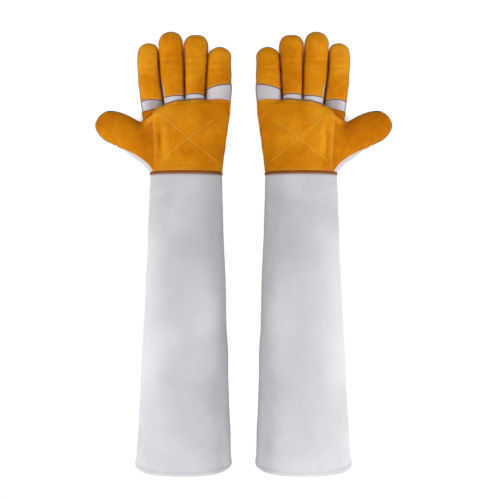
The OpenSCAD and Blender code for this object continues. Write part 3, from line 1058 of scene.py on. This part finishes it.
def patch_field(verts):
    """Distance inside the palm patch."""
    x, y, z = verts.T
    inside = soft_min(PATCH_EDGE_X(y) - x, (PATCH_EDGE_Y(x) - y) * 0.94, 5.0)
    inside = soft_min(inside, y - 1.5, 1.0)
    part = fade(30, 60, x)
    return soft_min(inside, (z - SIDE_Z(y) * (1 - part) - 11.0 * part) * 0.9, 2.0)


def yellow_field(verts):
    """Distance inside the yellow leather between the palm patch and the thumb's upper face."""
    x, y, z = verts.T
    along, across = thumb_axes(x, y)
    rise = 1.2 + 1.3 * fade(30, 60, along)
    seam = (z - (THUMB_SEAM_Z(along) + rise)) * 0.95
    inside = soft_min(THUMB_EDGE(along) - across, seam, 1.0)
    inside = soft_min(inside, (BAND_Y(x) - y) * 0.95, 1.0)
    inside = soft_min(inside, y - 1.2, 1.0)
    return soft_min(inside, x - (PATCH_EDGE_X(y) - 7.0), 1.0)


def seam_rise(finger, x, y):
    """Height of a finger's seam over its middle: high in the outline, low between fingers."""
    high, low = 3.6, -2.5
    part = fade(-0.35, 0.35, finger_side(finger, x, y))

    def climb(start, end):
        return low + (high - low) * fade(start, end, y)

    if finger.name == "index":
        thumb_edge, far_edge = high, climb(170, 178)
    elif finger.name == "middle":
        thumb_edge = low + (8.6 - low) * fade(154, 116, y) + (high - low) * fade(175, 185, y)
        far_edge = climb(180, 190)
    elif finger.name == "ring":
        thumb_edge, far_edge = climb(176, 186), climb(160, 172)
    else:
        thumb_edge, far_edge = climb(160, 168), high
    return thumb_edge * part + far_edge * (1 - part)


def finger_patch_field(finger):
    def field(verts):
        x, y, z = verts.T
        mid_z = finger_core(finger, y)[2]
        seam = (z - mid_z - seam_rise(finger, x, y)) * 0.95
        return soft_min(seam, y - finger.patch_base(x), 1.6)

    return field


def on_thumb(verts):
    """Positive on the thumb's pieces."""
    x, y, _ = verts.T
    return thumb_side(x, y) - THUMB_CUT + np.where(y > 82, -40.0, 0.0) * (x < 136)


def off_thumb(verts):
    return -on_thumb(verts)


def past_thumb_mid(verts):
    return thumb_axes(verts[:, 0], verts[:, 1])[0] - THUMB_MID


def finger_cut(verts):
    """Positive on the hand's side of the finger pieces."""
    x, y, _ = verts.T
    cut = np.where(x > 97.5, FINGERS["index"].cut, FINGERS["ring"].cut)
    return cut - y + np.where(x > 134, 60.0, 0.0)


# ------------------------------------------------------------------ painted light and shade
def touching(finger, verts, start, end):
    """1 on a finger's sides that have a neighbour, fading in from start to end across it."""
    x, y, z = verts.T
    side = finger_side(finger, x, y)
    beside = np.where(side > 0, float(finger.name != "index"), float(finger.name != "little"))
    return beside * fade(start, end, np.abs(side)) * fade(3, 8, z)


def flank(finger, verts, start=0.82, end=0.99):
    """The same, but only short of the fingertips."""
    return touching(finger, verts, start, end) * fade(178, 167, verts[:, 1])


def palm_light_and_shade(verts):
    """Painted shade in the palm's creases and folds, and painted highlights on its ridges."""
    x, y, z = verts.T
    top = fade(10, 18, z)
    past, along = web_axes(x, y)
    from_fold = x - fold_x(y)
    # painted shade: in the web's crease, a shadow under the index finger's grey band, the hollow
    # past the crease and the fold beside the seam
    web = 0.62 * bell(past - 0.6, 1.25) * fade(-5, 1, along) * fade(19, 13, along)
    band = 0.66 * bell(BAND_Y(x) - y - 0.9, 1.1) * fade(100, 106, x)
    beyond = 0.16 * fade(0, 2, past) * fade(-6, 0, along)
    fold = 0.16 * bell(from_fold - 0.8, 2.6) * fade(12, 34, y) * fade(74, 58, y)
    dark = np.maximum(np.maximum(web, band), np.maximum(beyond, fold))
    # painted highlights on the ridges beside the crease and the fold
    web_ridge = 0.42 * bell(past + 4.5, 3.6) * fade(-4, 4, along)
    fold_ridge = 0.30 * bell(from_fold + 6.5, 4.6) * fade(8, 34, y) * fade(84, 60, y)
    return {"shade": dark * top, "worn": np.maximum(web_ridge, fold_ridge) * top}


def patch_light_and_shade(verts):
    x, y, _ = verts.T
    wear = palm_light_and_shade(verts)
    # painted shade, darker towards the wrist
    near_wrist = 0.17 * fade(46, 8, y)
    wear["shade"] = np.maximum(np.where(x < 104.0, wear["shade"], 0.0), near_wrist)
    # painted highlight on the patch's upper part towards the thumb
    highlight_spot = 0.46 * bell(x - 88.0, 16.0) * bell(y - 77.0, 13.0)
    wear["worn"] = np.maximum(wear["worn"], highlight_spot)
    return wear


# ------------------------------------------------------------------ kinds of leather piece
def panel(surface, verts, tris, field, thick, base, border, groove_at=None):
    """A raised panel where field is positive, rounded over the width of its border.

    Returns vertices, triangles, normals, height over the surface and nearness to the edge.
    """
    verts, tris = clip(surface, verts, tris, field)
    levels = [0.2 * border, 0.5 * border, border]
    if groove_at:
        levels += [groove_at - 0.55, groove_at, groove_at + 0.55]
    for level in levels:
        verts, tris, _ = split(surface, verts, tris, field, level)
    inside = np.maximum(field(verts), 0)
    part = np.clip(inside / border, 0, 1)
    round_off = np.sqrt(np.clip(1 - (1 - part) ** 2, 0, 1))
    height = base + thick * round_off - 0.25 * (part < 1e-6)
    if groove_at:
        height = height - 0.28 * bell(inside - groove_at, 0.55)
    return verts, tris, normals_of(surface, verts), height, bell(inside, 1.1)


def halves(surface, verts, tris, normals, height, edge, field):
    """The parts of a panel where field is positive and where it is negative."""
    cut_verts, tris, value = split(surface, verts, tris, field, 0.0)
    new = cut_verts[len(verts) :]
    # height and edge at a new vertex come from the nearest old one
    nearest = np.empty(len(new), int)
    for i in range(0, len(new), 256):
        apart = ((new[i : i + 256, None, :] - verts[None, :, :]) ** 2).sum(2)
        nearest[i : i + 256] = apart.argmin(1)
    normals = np.concatenate([normals, normals_of(surface, new)])
    height, edge = [np.concatenate([values, values[nearest]]) for values in (height, edge)]
    return [
        compact(cut_verts, tris[sign * value[tris].sum(1) > 0], normals, height, edge)
        for sign in (1, -1)
    ]


def emit_panel(name, part, look, how, replaced=(), wear=None):
    verts, tris, normals, height, edge = part
    closed_verts, closed_tris = shell(verts + normals * height[:, None], verts - normals * 0.6, tris)
    attrs = {"edge": edge, **(wear(verts) if wear else {})}
    attrs = {key: np.concatenate([values, values]) for key, values in attrs.items()}
    emit(name, closed_verts, closed_tris, look, how, replaced, attrs)


def emit_skin(name, surface, verts, tris, how, replaced, finger=None):
    """Grey leather 1.4 thick, with painted shade in its crease, between the fingers, on the index
    finger's grey band and on the thumb's heel strip.
    """
    normals = normals_of(surface, verts)
    closed_verts, closed_tris = shell(verts, verts - normals * 1.4, tris)
    x, y, z = verts.T
    # painted shade in the crease below the middle and ring fingers, and on the sides between the
    # fingers, carried as "edge"
    line = bell(y - CREASE_Y(x) + 0.2, 1.25) * fade(35, 38, x) * fade(99, 96, x) * fade(10, 15, z)
    if finger:
        line = np.maximum(line, 0.55 * touching(finger, verts, 0.86, 0.97))
    # painted shade on the index finger's grey band
    band = 0.40 * fade(124, 110, x) * fade(98.0, 101.0, x)
    band = band * fade(84, 88, y) * fade(106, 103, y) * fade(10, 16, z)
    along, across = thumb_axes(x, y)
    # painted grey shade on the thumb's heel strip
    heel = 0.36 * fade(100, 112, x) * fade(66, 50, y) * fade(10, 16, across) * fade(52, 34, along)
    attrs = {
        key: np.concatenate([values, values * 0])
        for key, values in (("edge", line), ("shade", band), ("dull", heel))
    }
    both = np.concatenate([normals, -normals])
    emit(name, closed_verts, closed_tris, "hand_grey", how, replaced, attrs, both)


# ------------------------------------------------------------------ the bodies given for each piece
def past_bend(distance):
    """The point that far from the thumb's root, square to its bend line."""
    unit = 1 / BEND_LENGTH
    return ROOT_X + distance * unit, ROOT_Y - distance * BEND_LEAN * unit, 0.0


def along_thumb(distance):
    return ROOT_X + distance * AXIS_X, ROOT_Y + distance * AXIS_Y, 0.0


ELBOW_Y = HEM + 150.0  # middle of the sleeve's bend
ON_HAND = ("hand",)
ON_THUMB_BASE = ("hand", "thumb_base", past_bend(2.5), past_bend(22.5))
ON_THUMB_TIP = ("thumb_base", "thumb_tip", along_thumb(THUMB_MID), along_thumb(69.0))
ON_SLEEVE_UPPER = (
    "sleeve_upper", "sleeve_lower", (65, ELBOW_Y - 55, 0.0), (65, ELBOW_Y + 55, 0.0)
)
ON_SLEEVE_LOWER = ("sleeve_lower", "hand", (65, -47.0, 0.0), (65, -3.0, 0.0))


# ------------------------------------------------------------------ hand and thumb
def hand_mesh():
    mesh = surface_net(hand_surface, (-3, -4, -2), (198, 112, 54))
    mesh = clip(hand_surface, *mesh, lambda verts: verts[:, 1])
    return clip(hand_surface, *mesh, finger_cut)


HAND = (hand_surface, *hand_mesh())
PALM = (hand_surface, *clip(*HAND, off_thumb))


def build_grey_leather():
    emit_skin("hand_leather", *PALM, ON_HAND, ("palm_panel", "back_panel"))
    thumb = (hand_surface, *clip(*HAND, on_thumb))
    base = clip(*thumb, lambda verts: -past_thumb_mid(verts))
    emit_skin("thumb_base_leather", hand_surface, *base, ON_THUMB_BASE, ("thumb_base_back",))
    tip = clip(*thumb, past_thumb_mid)
    emit_skin("thumb_tip_leather", hand_surface, *tip, ON_THUMB_TIP, ("thumb_tip_back",))


def build_palm_patch():
    part = panel(*HAND, patch_field, thick=1.35, base=0.35, border=1.3, groove_at=2.6)
    emit_panel("palm_patch", part, "suede", ON_HAND, ("palm_patch",), patch_light_and_shade)


def build_thumb_suede():
    part = panel(*HAND, yellow_field, thick=0.75, base=0.0, border=1.2)
    thumb, palm = halves(hand_surface, *part, on_thumb)
    emit_panel("thumb_leather_palm", palm, "suede_thumb", ON_HAND, wear=palm_light_and_shade)
    tip, base = halves(hand_surface, *thumb, past_thumb_mid)
    emit_panel("thumb_base_front", base, "suede_thumb", ON_THUMB_BASE, ("thumb_base_front",))
    emit_panel("thumb_tip_front", tip, "suede_thumb", ON_THUMB_TIP, ("thumb_tip_front",))


def build_thumb_welts():
    """The welt round the thumb's suede."""
    for line, closed in welt_lines(*HAND, yellow_field, -0.5):
        along, across = thumb_axes(line[:, 0], line[:, 1])
        shown = (along > 4) & ((along > 42) | (across < 0)) & (on_thumb(line) > 0)
        for part, how, mask in (
            ("base", ON_THUMB_BASE, shown & (along <= THUMB_MID)),
            ("tip", ON_THUMB_TIP, shown & (along > THUMB_MID)),
        ):
            runs = runs_of(line, closed, mask)
            tubes = [welt(hand_surface, run, radius=0.8, rise=0.42) for run in runs]
            emit_cords(f"thumb_{part}_welt", tubes, "slate", how)


def build_hand_welts():
    """Welts down the little-finger edge and from the thumb's web to the index finger."""

    def edge_field(verts):
        return verts[:, 2] - SIDE_Z(verts[:, 1]) + 0.6

    def edge_span(verts):
        return (verts[:, 0] < 30) & (verts[:, 1] > 1.0)

    def web_field(verts):
        return verts[:, 2] - 13.0 - 0.05 * (100 - verts[:, 1])

    def web_span(verts):
        x, y, _ = verts.T
        return (x > 108) & (y > 74) & (thumb_side(x, y) < THUMB_CUT)

    for name, field, span in (("edge", edge_field, edge_span), ("web", web_field, web_span)):
        lines = welt_lines(*HAND, field, 0.0, span)
        tubes = [welt(hand_surface, line, radius=0.72, rise=0.3) for line, _ in lines]
        emit_cords(f"hand_{name}_welt", tubes, "slate", ON_HAND)


# ------------------------------------------------------------------ fingers
def border_welt(finger, surface, line):
    """A welt that is fuller where the seam runs high, and thin along the patch's lower edge."""
    x, y, _ = line.T
    full = fade(-2.0, 1.6, seam_rise(finger, x, y))
    full = np.where(y < finger.patch_base(x) + 1.0, 0.35, full)
    return welt(surface, line, radius=0.42 + 0.4 * full, rise=(0.05 + 0.36 * full)[:, None])


def outer_welts(finger, mesh):
    """The outer seam of the index or little finger, carried down beside the grey band."""
    outward = 1.0 if finger.name == "index" else -1.0

    def field(verts):
        return verts[:, 2] - (finger.half_z(verts[:, 1]) - 0.4 + finger.lift) - 1.6

    def span(verts):
        x, y, _ = verts.T
        return ((x - finger.mid_x(y)) * outward > 0) & (y < finger.patch_base(x) + 1.0)

    lines = welt_lines(*mesh, field, 0.0, span)
    return [welt(mesh[0], line, radius=0.75, rise=0.35) for line, _ in lines]


def finger_welts(finger, mesh, field):
    """Tubes for the base piece and for the tip piece."""
    tubes = {"base": [], "tip": []}
    for line, closed in welt_lines(*mesh, field, -0.5):
        x, y, _ = line.T
        bare = np.zeros(len(line), bool)
        if finger.name == "middle":
            bare = (x > 90) & (y < 150) & (y > finger.patch_base(x) + 1.5)
        for part, mask in (("base", y <= finger.split), ("tip", y > finger.split)):
            for run in runs_of(line, closed, mask & ~bare):
                tubes[part].append(border_welt(finger, mesh[0], run))
    if finger.name in ("index", "little"):
        tubes["base"] += outer_welts(finger, mesh)
    return tubes


def build_finger(finger):
    name, surface = finger.name, finger_surface(finger)
    mid_x = float(finger.mid_x(150))
    low, high = (mid_x - 25, finger.cut - 5, -2), (mid_x + 23, finger.tip + 4, 34)
    mesh = surface_net(surface, low, high)
    mesh = (surface, *clip(surface, *mesh, lambda verts: verts[:, 1] - finger.cut))
    base, tip = name + "_base", name + "_tip"
    follow = {
        "base": ("hand", base, *[(mid_x, y, 0.0) for y in finger.knuckle]),
        "tip": (base, tip, *[(mid_x, y, 0.0) for y in finger.joint]),
    }

    def past_split(verts):
        return verts[:, 1] - finger.split

    def base_shade(verts):
        # painted shade on the sides that touch another finger
        return {"shade": 0.6 * flank(finger, verts)}

    def tip_light_and_shade(verts):
        # painted highlight towards the index fingertip
        worn = fade(finger.split, finger.split + 14, verts[:, 1])
        return {**base_shade(verts), "worn": 0.32 * (name == "index") * worn}

    for part, sign in (("base", -1), ("tip", 1)):
        piece = clip(*mesh, lambda verts: sign * past_split(verts))
        stall = f"{name}_{part}_stall"
        emit_skin(stall, surface, *piece, follow[part], (stall,), finger)

    field = finger_patch_field(finger)
    patch = panel(*mesh, field, thick=0.6, base=0.12, border=0.9, groove_at=2.3)
    tip_half, base_half = halves(surface, *patch, past_split)
    for part, half, wear in (("base", base_half, base_shade), ("tip", tip_half, tip_light_and_shade)):
        patch_name = f"{name}_{part}_patch"
        emit_panel(patch_name, half, "suede", follow[part], (patch_name,), wear)

    tubes = finger_welts(finger, mesh, field)
    lines = isoline(*mesh, field, 2.3)
    for part, how in follow.items():
        # the welts get painted shade where they run between the fingers
        emit_cords(
            f"{name}_{part}_welt", tubes[part], "slate", how,
            lambda verts: {"shade": 0.85 * flank(finger, verts, 0.80, 0.95)},
        )
        threads = []
        for line, closed in lines:
            threads += stitches(
                surface, line, closed, length=2.3, gap=0.9, radius=0.26, lift=0.55, seed=7,
                keep=lambda point: (point[1] > finger.split) == (part == "tip"),
            )
        emit_cords(f"{name}_{part}_stitching", threads, "thread_pale", how)


# ------------------------------------------------------------------ palm stitching
def palm_top(x, y):
    """Height of the palm's top surface, by scanning down and then halving."""

    def value(z):
        return hand_surface(np.stack([x, y, z], 1))

    levels = np.linspace(60.0, 8.0, 60)
    first = np.argmax(np.stack([value(np.full_like(x, z)) for z in levels]) < 0, 0)
    above, below = levels[np.maximum(first - 1, 0)], levels[first]
    for _ in range(14):
        middle = (above + below) / 2
        inside = value(middle) < 0
        below = np.where(inside, middle, below)
        above = np.where(inside, above, middle)
    return (above + below) / 2


def palm_line(start, end, offset):
    """A straight line in plan, moved sideways by the offset and laid on the palm."""
    part = np.linspace(0, 1, 120)
    run_x, run_y = end[0] - start[0], end[1] - start[1]
    length = math.hypot(run_x, run_y)
    x = start[0] + run_x * part + -run_y / length * offset
    y = start[1] + run_y * part + run_x / length * offset
    return np.stack([x, y, palm_top(x, y)], 1)


def build_palm_stitching():
    """Two crossing double rows, a row in the patch's groove and a second at its finger end."""
    threads = []
    for start, end in (((99.5, 80.0), (20.5, 12.5)), ((25.5, 71.5), (98.0, 14.0))):
        for offset in (-0.5, 0.5):
            threads += stitches(
                hand_surface, palm_line(start, end, offset), False,
                length=2.9, gap=0.7, radius=0.27, lift=1.78, seed=3,
            )
    for line, closed in isoline(*HAND, patch_field, 2.6):
        threads += stitches(
            hand_surface, line, closed, length=2.4, gap=0.9, radius=0.28, lift=1.52, seed=4,
            keep=lambda point: point[1] > 5.5 and (point[1] < 84 or point[0] < 8),
        )
    for line, closed in isoline(*HAND, patch_field, 3.9):
        threads += stitches(
            hand_surface, line, closed, length=2.7, gap=1.5, radius=0.3, lift=1.74, seed=4,
            keep=lambda point: point[1] > 84 and point[0] < 101,
        )
    emit_cords("palm_stitching", threads, "thread", ON_HAND)


# ------------------------------------------------------------------ sleeve
SLEEVE_MID_X = curve([HEM, -215.0, 0.0], [66.0, 64.4, 63.6])
SLEEVE_HALF_X = curve([HEM, -215.0, 0.0], [64.8, 57.0, 49.0])
WRIST_HEIGHT, HEM_HEIGHT = 48.6, 69.5
SECTION_POWER = 2.3  # squareness of the sleeve's oval
SLEEVE_SPLIT = -120.0  # y where the upper and lower pieces meet
RIPPLES = [waves(31, 120.0), waves(37, 46.0), waves(41, 18.0, 9), waves(47, 70.0)]
# y and x of the middle, y gained per x, width, depth
SLEEVE_FOLDS = [
    (-38, 88, 0.55, 6.0, -0.4), (-52, 40, -0.5, 7.0, -0.35), (-96, 84, 0.35, 9.0, -0.35),
    (-215, 45, -0.3, 12.0, -0.4), (-318, 92, 0.3, 13.0, -0.5), (-352, 40, -0.25, 12.0, -0.4),
]


def sleeve_section(y, around):
    """Evenly spaced points round the oval at y."""
    half_x = float(SLEEVE_HALF_X(y))
    half_z = (WRIST_HEIGHT + (HEM_HEIGHT - WRIST_HEIGHT) * y / HEM) / 2
    turn = np.linspace(0, 2 * math.pi, 1441)
    power = 2 / SECTION_POWER
    oval = np.stack(
        [
            half_x * np.sign(np.cos(turn)) * np.abs(np.cos(turn)) ** power,
            half_z * np.sign(np.sin(turn)) * np.abs(np.sin(turn)) ** power,
        ],
        1,
    )
    lengths = arc_lengths(oval)
    x, z = at_lengths(oval, lengths, np.linspace(0, lengths[-1], around + 1)[:-1]).T
    return np.stack([float(SLEEVE_MID_X(y)) + x, np.full(around, y), (half_z - 1.0) + z], 1)


def section_normals(rows):
    along = np.roll(rows, -1, -2) - np.roll(rows, 1, -2)
    normals = np.stack([along[..., 2], np.zeros(along.shape[:-1]), -along[..., 0]], -1)
    return normals / np.linalg.norm(normals, axis=-1)[..., None]


def sleeve_relief(x, y, z):
    broad, middle, fine, slanted = RIPPLES
    shown = fade(4, 24, z) * fade(0, -22, y)
    rise = 0.55 * broad(x + 0.5 * z, y) + 0.4 * slanted(x - z, y)
    rise = (rise + 0.22 * middle(x + z, y) + 0.07 * fine(x + z, y)) * shown
    for fold_y, mid_x, slope, width, depth in SLEEVE_FOLDS:
        line = (y - fold_y) - slope * (x - mid_x)
        rise = rise + depth * bell(line, width) * bell(x - mid_x, 34.0) * shown
    # turned hem
    from_hem = y - HEM
    rise = rise + 0.55 * fade(5.6, 4.4, from_hem) - 0.35 * bell(from_hem - 4.9, 0.7)
    # round shoulder where the sleeve meets the wrist seam
    return rise - 1.3 * fade(-4.5, 0.0, y) ** 2


def sleeve_grid(stations, inset=0.0, around=168):
    """Rows of points round the sleeve, inset below its outer face."""
    even = np.stack([sleeve_section(y, around) for y in stations])
    normals = section_normals(even)
    x, y, z = np.moveaxis(even, 2, 0)
    rise = sleeve_relief(x, y, z) * (1 - 0.6 * normals[..., 0] ** 2 * (y > HEM + 12))
    grid = even + normals * (rise - inset)[..., None]
    # the open end bows out over the top
    grid[..., 1] += (3.6 - 6.2 * fade(30, 70, z)) * fade(HEM + 90, HEM, y)
    height = grid[..., 2]
    flat = np.where(height < inset, inset + (height - inset) * 0.03, height)
    grid[..., 2] = np.maximum(flat, 0.0)
    return grid


def grid_normals(grid):
    around = np.roll(grid, -1, 1) - np.roll(grid, 1, 1)
    normals = np.cross(around, np.gradient(grid, axis=0))
    normals /= np.linalg.norm(normals, axis=2)[..., None] + 1e-12
    return -normals


def sleeve_shell(outer, inner):
    """A closed length of sleeve from an outer and an inner grid, as quads."""
    rows, around = outer.shape[:2]
    size = rows * around
    i, j = np.arange(rows - 1)[:, None], np.arange(around)[None, :]
    j_next = (j + 1) % around
    corners = (i * around + j, i * around + j_next, (i + 1) * around + j_next, (i + 1) * around + j)
    faces = np.stack(np.broadcast_arrays(*corners), 2).reshape(-1, 4)
    j, j_next, last = j[0], j_next[0], size - around
    rims = [
        np.stack([j, j_next, j_next + size, j + size], 1),
        np.stack([last + j_next, last + j, last + j + size, last + j_next + size], 1),
    ]
    verts = np.concatenate([outer.reshape(-1, 3), inner.reshape(-1, 3)])
    return verts, np.concatenate([faces[:, ::-1], faces + size, *rims])


def stations_of(*parts):
    return np.unique(np.round(np.concatenate(parts), 3))


def sleeve_parts(stations):
    """The rows of the upper piece and of the lower piece."""
    cut = int(np.argmin(np.abs(stations - SLEEVE_SPLIT)))
    return slice(0, cut + 1), slice(cut, len(stations))


def emit_sleeve(name, outer, inner, how, replaced):
    verts, faces = sleeve_shell(outer[0], inner[0])
    normals = np.concatenate([outer[1].reshape(-1, 3), inner[1].reshape(-1, 3)])
    x, y, _ = verts.T
    # painted grey shade down the sleeve's middle and painted highlight on its outer side, where the
    # light falls
    dull = 0.36 * bell(x - 62, 24.0) * fade(-30, -110, y) * fade(HEM + 10, HEM + 70, y)
    worn = 0.45 * fade(80, 110, x) * fade(-50, -120, y)
    worn = worn * (1 - 0.8 * fade(HEM + 150, HEM + 60, y))
    # "edge" darkens the hem's groove; "shade" is painted brown shadow below the wrist welt
    attrs = {
        "edge": bell(y - HEM - 4.9, 0.7) * 0.35, "dull": dull, "worn": worn,
        "shade": 0.5 * bell(y + 2.9, 1.4),
    }
    emit(name, verts, faces, "grey", how, replaced, attrs, normals)


def build_sleeve():
    stations = stations_of(
        HEM + np.array([0.0, 0.5, 1.2, 2.2, 3.2, 4.0, 4.5, 4.9, 5.3, 5.9, 6.8]),
        np.arange(HEM + 8.5, -121, 2.0),
        [SLEEVE_SPLIT],
        np.arange(-118.5, -5.5, 1.6),
        [-4.4, -3.4, -2.5, -1.7, -1.0, -0.5],
    )
    thick = 1.5
    outer, inner = sleeve_grid(stations), sleeve_grid(stations, inset=thick)
    # rounded lip at the hem
    for row, inset in enumerate((0.7, 0.32, 0.08)):
        normal = (outer[row] - inner[row]) / thick
        outer[row] -= normal * inset
        inner[row] += normal * inset * 0.8
    outer_normals, inner_normals = grid_normals(outer), -grid_normals(inner)
    upper, lower = sleeve_parts(stations)
    for name, rows, how, replaced in (
        ("gauntlet_upper", upper, ON_SLEEVE_UPPER, ("gauntlet_upper",)),
        ("gauntlet_lower", lower, ON_SLEEVE_LOWER, ("gauntlet_lower", "gauntlet_wrist")),
    ):
        faces = (outer[rows], outer_normals[rows]), (inner[rows], inner_normals[rows])
        emit_sleeve(name, *faces, how, replaced)


def emit_lining(name, verts, faces, how):
    emit(name, verts, faces, "canvas", how, (name,), {"edge": np.zeros(len(verts))})


def build_linings():
    stations = stations_of(
        HEM + np.array([2.4, 3.2, 4.5]),
        np.arange(HEM + 8, -120, 5.0),
        [SLEEVE_SPLIT],
        np.arange(-116, -6, 4.0),
    )
    outer, inner = [sleeve_grid(stations, inset, around=96) for inset in (1.75, 2.6)]
    upper, lower = sleeve_parts(stations)
    for name, rows, how in (
        ("gauntlet_upper_lining", upper, ON_SLEEVE_UPPER),
        ("gauntlet_lower_lining", lower, ON_SLEEVE_LOWER),
    ):
        emit_lining(name, *sleeve_shell(outer[rows], inner[rows]), how)
    _, verts, tris = PALM
    normals = normals_of(hand_surface, verts)
    hand = shell(verts - normals * 1.6, verts - normals * 2.3, tris)
    emit_lining("hand_lining", *hand, ON_HAND)


def build_wrist_welt():
    """A flattened brown cord round the wrist seam."""
    ring = sleeve_grid(np.array([0.0]), around=160)[0]
    normals = section_normals(ring)
    line = ring + normals * (1.75 - 1.3 * normals[:, :1] ** 2) + np.array([0.0, -0.6, 0.0])
    verts, tris = tube(line, True, high=1.45, wide=1.9, normals=normals, sides=12)
    verts[:, 2] = np.maximum(verts[:, 2], 0.0)
    emit("wrist_welt", verts, tris, "welt", ON_HAND, ("wrist_welt",))


# ------------------------------------------------------------------ stage, light, camera (metres)
def build_world():
    """White to the camera, dimmer as a light."""
    world = bpy.data.worlds.new("studio")
    bpy.context.scene.world = world
    world.use_nodes = True
    tree = world.node_tree
    background = tree.nodes["Background"]
    background.inputs[0].default_value = (1, 1, 1, 1)
    rays = tree.nodes.new("ShaderNodeLightPath")
    strength = tree.nodes.new("ShaderNodeMath")
    strength.operation = "MULTIPLY_ADD"
    strength.inputs[1].default_value = 0.643  # added for camera rays
    strength.inputs[2].default_value = 0.357  # for all rays
    tree.links.new(rays.outputs["Is Camera Ray"], strength.inputs[0])
    tree.links.new(strength.outputs[0], background.inputs[1])


def floor_paper():
    """Paper that looks plain white to the camera, with brown contact shadows."""
    shader = Shader("floor_paper")
    grain = shader.noise(scale=300, detail=2, rough=0.5)
    normal = shader.bump(grain, strength=0.03, distance=0.0005)
    shader.finish((0.93, 0.93, 0.93), 0.95, normal, specular=0.1)
    rays = shader.node("LightPath")
    glow = shader.node("Emission")
    glow.inputs["Strength"].default_value = 1.02
    contact = shader.node("AmbientOcclusion")
    contact.inputs["Distance"].default_value = 0.022
    contact.samples = 8
    shadow = shader.ramp(contact.outputs["AO"], (0.20, srgb(58, 24, 6)), (0.44, (1, 1, 1)))
    shader.link(shadow, glow.inputs["Color"])
    choice = shader.node("MixShader")
    shader.link(rays.outputs["Is Camera Ray"], choice.inputs[0])
    shader.link(shader.surface.outputs[0], choice.inputs[1])
    shader.link(glow.outputs[0], choice.inputs[2])
    shader.link(choice.outputs[0], shader.output.inputs[0])
    return shader.material


def build_floor():
    size, level = 30, -0.0006
    corners = [(-size, -size), (size, -size), (size, size), (-size, size)]
    verts = np.array([[x, y, level] for x, y in corners])
    floor = add_mesh("floor", verts, np.array([[0, 1, 2, 3]]), floor_paper(), smooth=False)


def build_card():
    """An upright card between the gloves that the camera does not see."""
    shader = Shader("card_black")
    grain = shader.noise(scale=200, detail=2, rough=0.5)
    normal = shader.bump(grain, strength=0.05, distance=0.0005)
    material = shader.finish((0.75, 0.75, 0.77), 0.9, normal, specular=0.05)
    # y and z along the top edge
    top = [
        (-0.6, 0.085), (-0.19, 0.085), (-0.12, 0.068), (-0.09, 0.068), (-0.02, 0.085), (0.6, 0.085)
    ]
    count = len(top)
    verts = np.array([[0, y, 0.024] for y, _ in top] + [[0, y, z] for y, z in top])
    faces = np.array([[i, i + 1, i + 1 + count, i + count] for i in range(count - 1)])
    card = add_mesh("dark_card", verts, faces, material, smooth=False)
    card.visible_camera = False
    card.visible_glossy = False


def area_light(name, location, target, size, power):
    light = bpy.data.lights.new(name, "AREA")
    light.shape = "RECTANGLE"
    light.size, light.size_y = size
    light.energy = power
    lamp = bpy.data.objects.new(name, light)
    lamp.location = location
    aim = Vector(target) - Vector(location)
    lamp.rotation_euler = aim.to_track_quat("-Z", "Y").to_euler()
    bpy.context.scene.collection.objects.link(lamp)


def build_lights():
    area_light("top", location=(0, -0.12, 1.6), target=(0, -0.08, 0), size=(1.6, 1.6), power=3.53)
    area_light(
        "top_hem", location=(0, -0.75, 1.3), target=(0, -0.25, 0), size=(0.9, 0.7), power=6.03
    )
    for sign, side in ((-1, "left"), (1, "right")):
        for name, y, target_y, power in (
            (side, -0.08, -0.048, 1.96),
            (side + "_hem", -0.5, -0.3, 7.23),
        ):
            area_light(
                name, location=(1.2 * sign, y, 0.62), target=(0.1 * sign, target_y, 0.03),
                size=(0.7, 0.7), power=power,
            )


def build_camera():
    """Looks straight down."""
    camera = bpy.data.cameras.new("camera")
    camera.sensor_width = 36.0
    camera.lens = 45.072
    camera.clip_start = 0.01
    holder = bpy.data.objects.new("camera", camera)
    holder.location = (0.0088, -0.0052, 0.8885)
    bpy.context.scene.collection.objects.link(holder)
    bpy.context.scene.camera = holder


build_grey_leather()
build_palm_patch()
build_thumb_suede()
build_thumb_welts()
build_hand_welts()
for finger in FINGERS.values():
    build_finger(finger)
build_palm_stitching()
build_sleeve()
build_linings()
build_wrist_welt()

bpy.context.scene.view_settings.view_transform = "Standard"
build_world()
build_floor()
build_card()
build_lights()
build_camera()
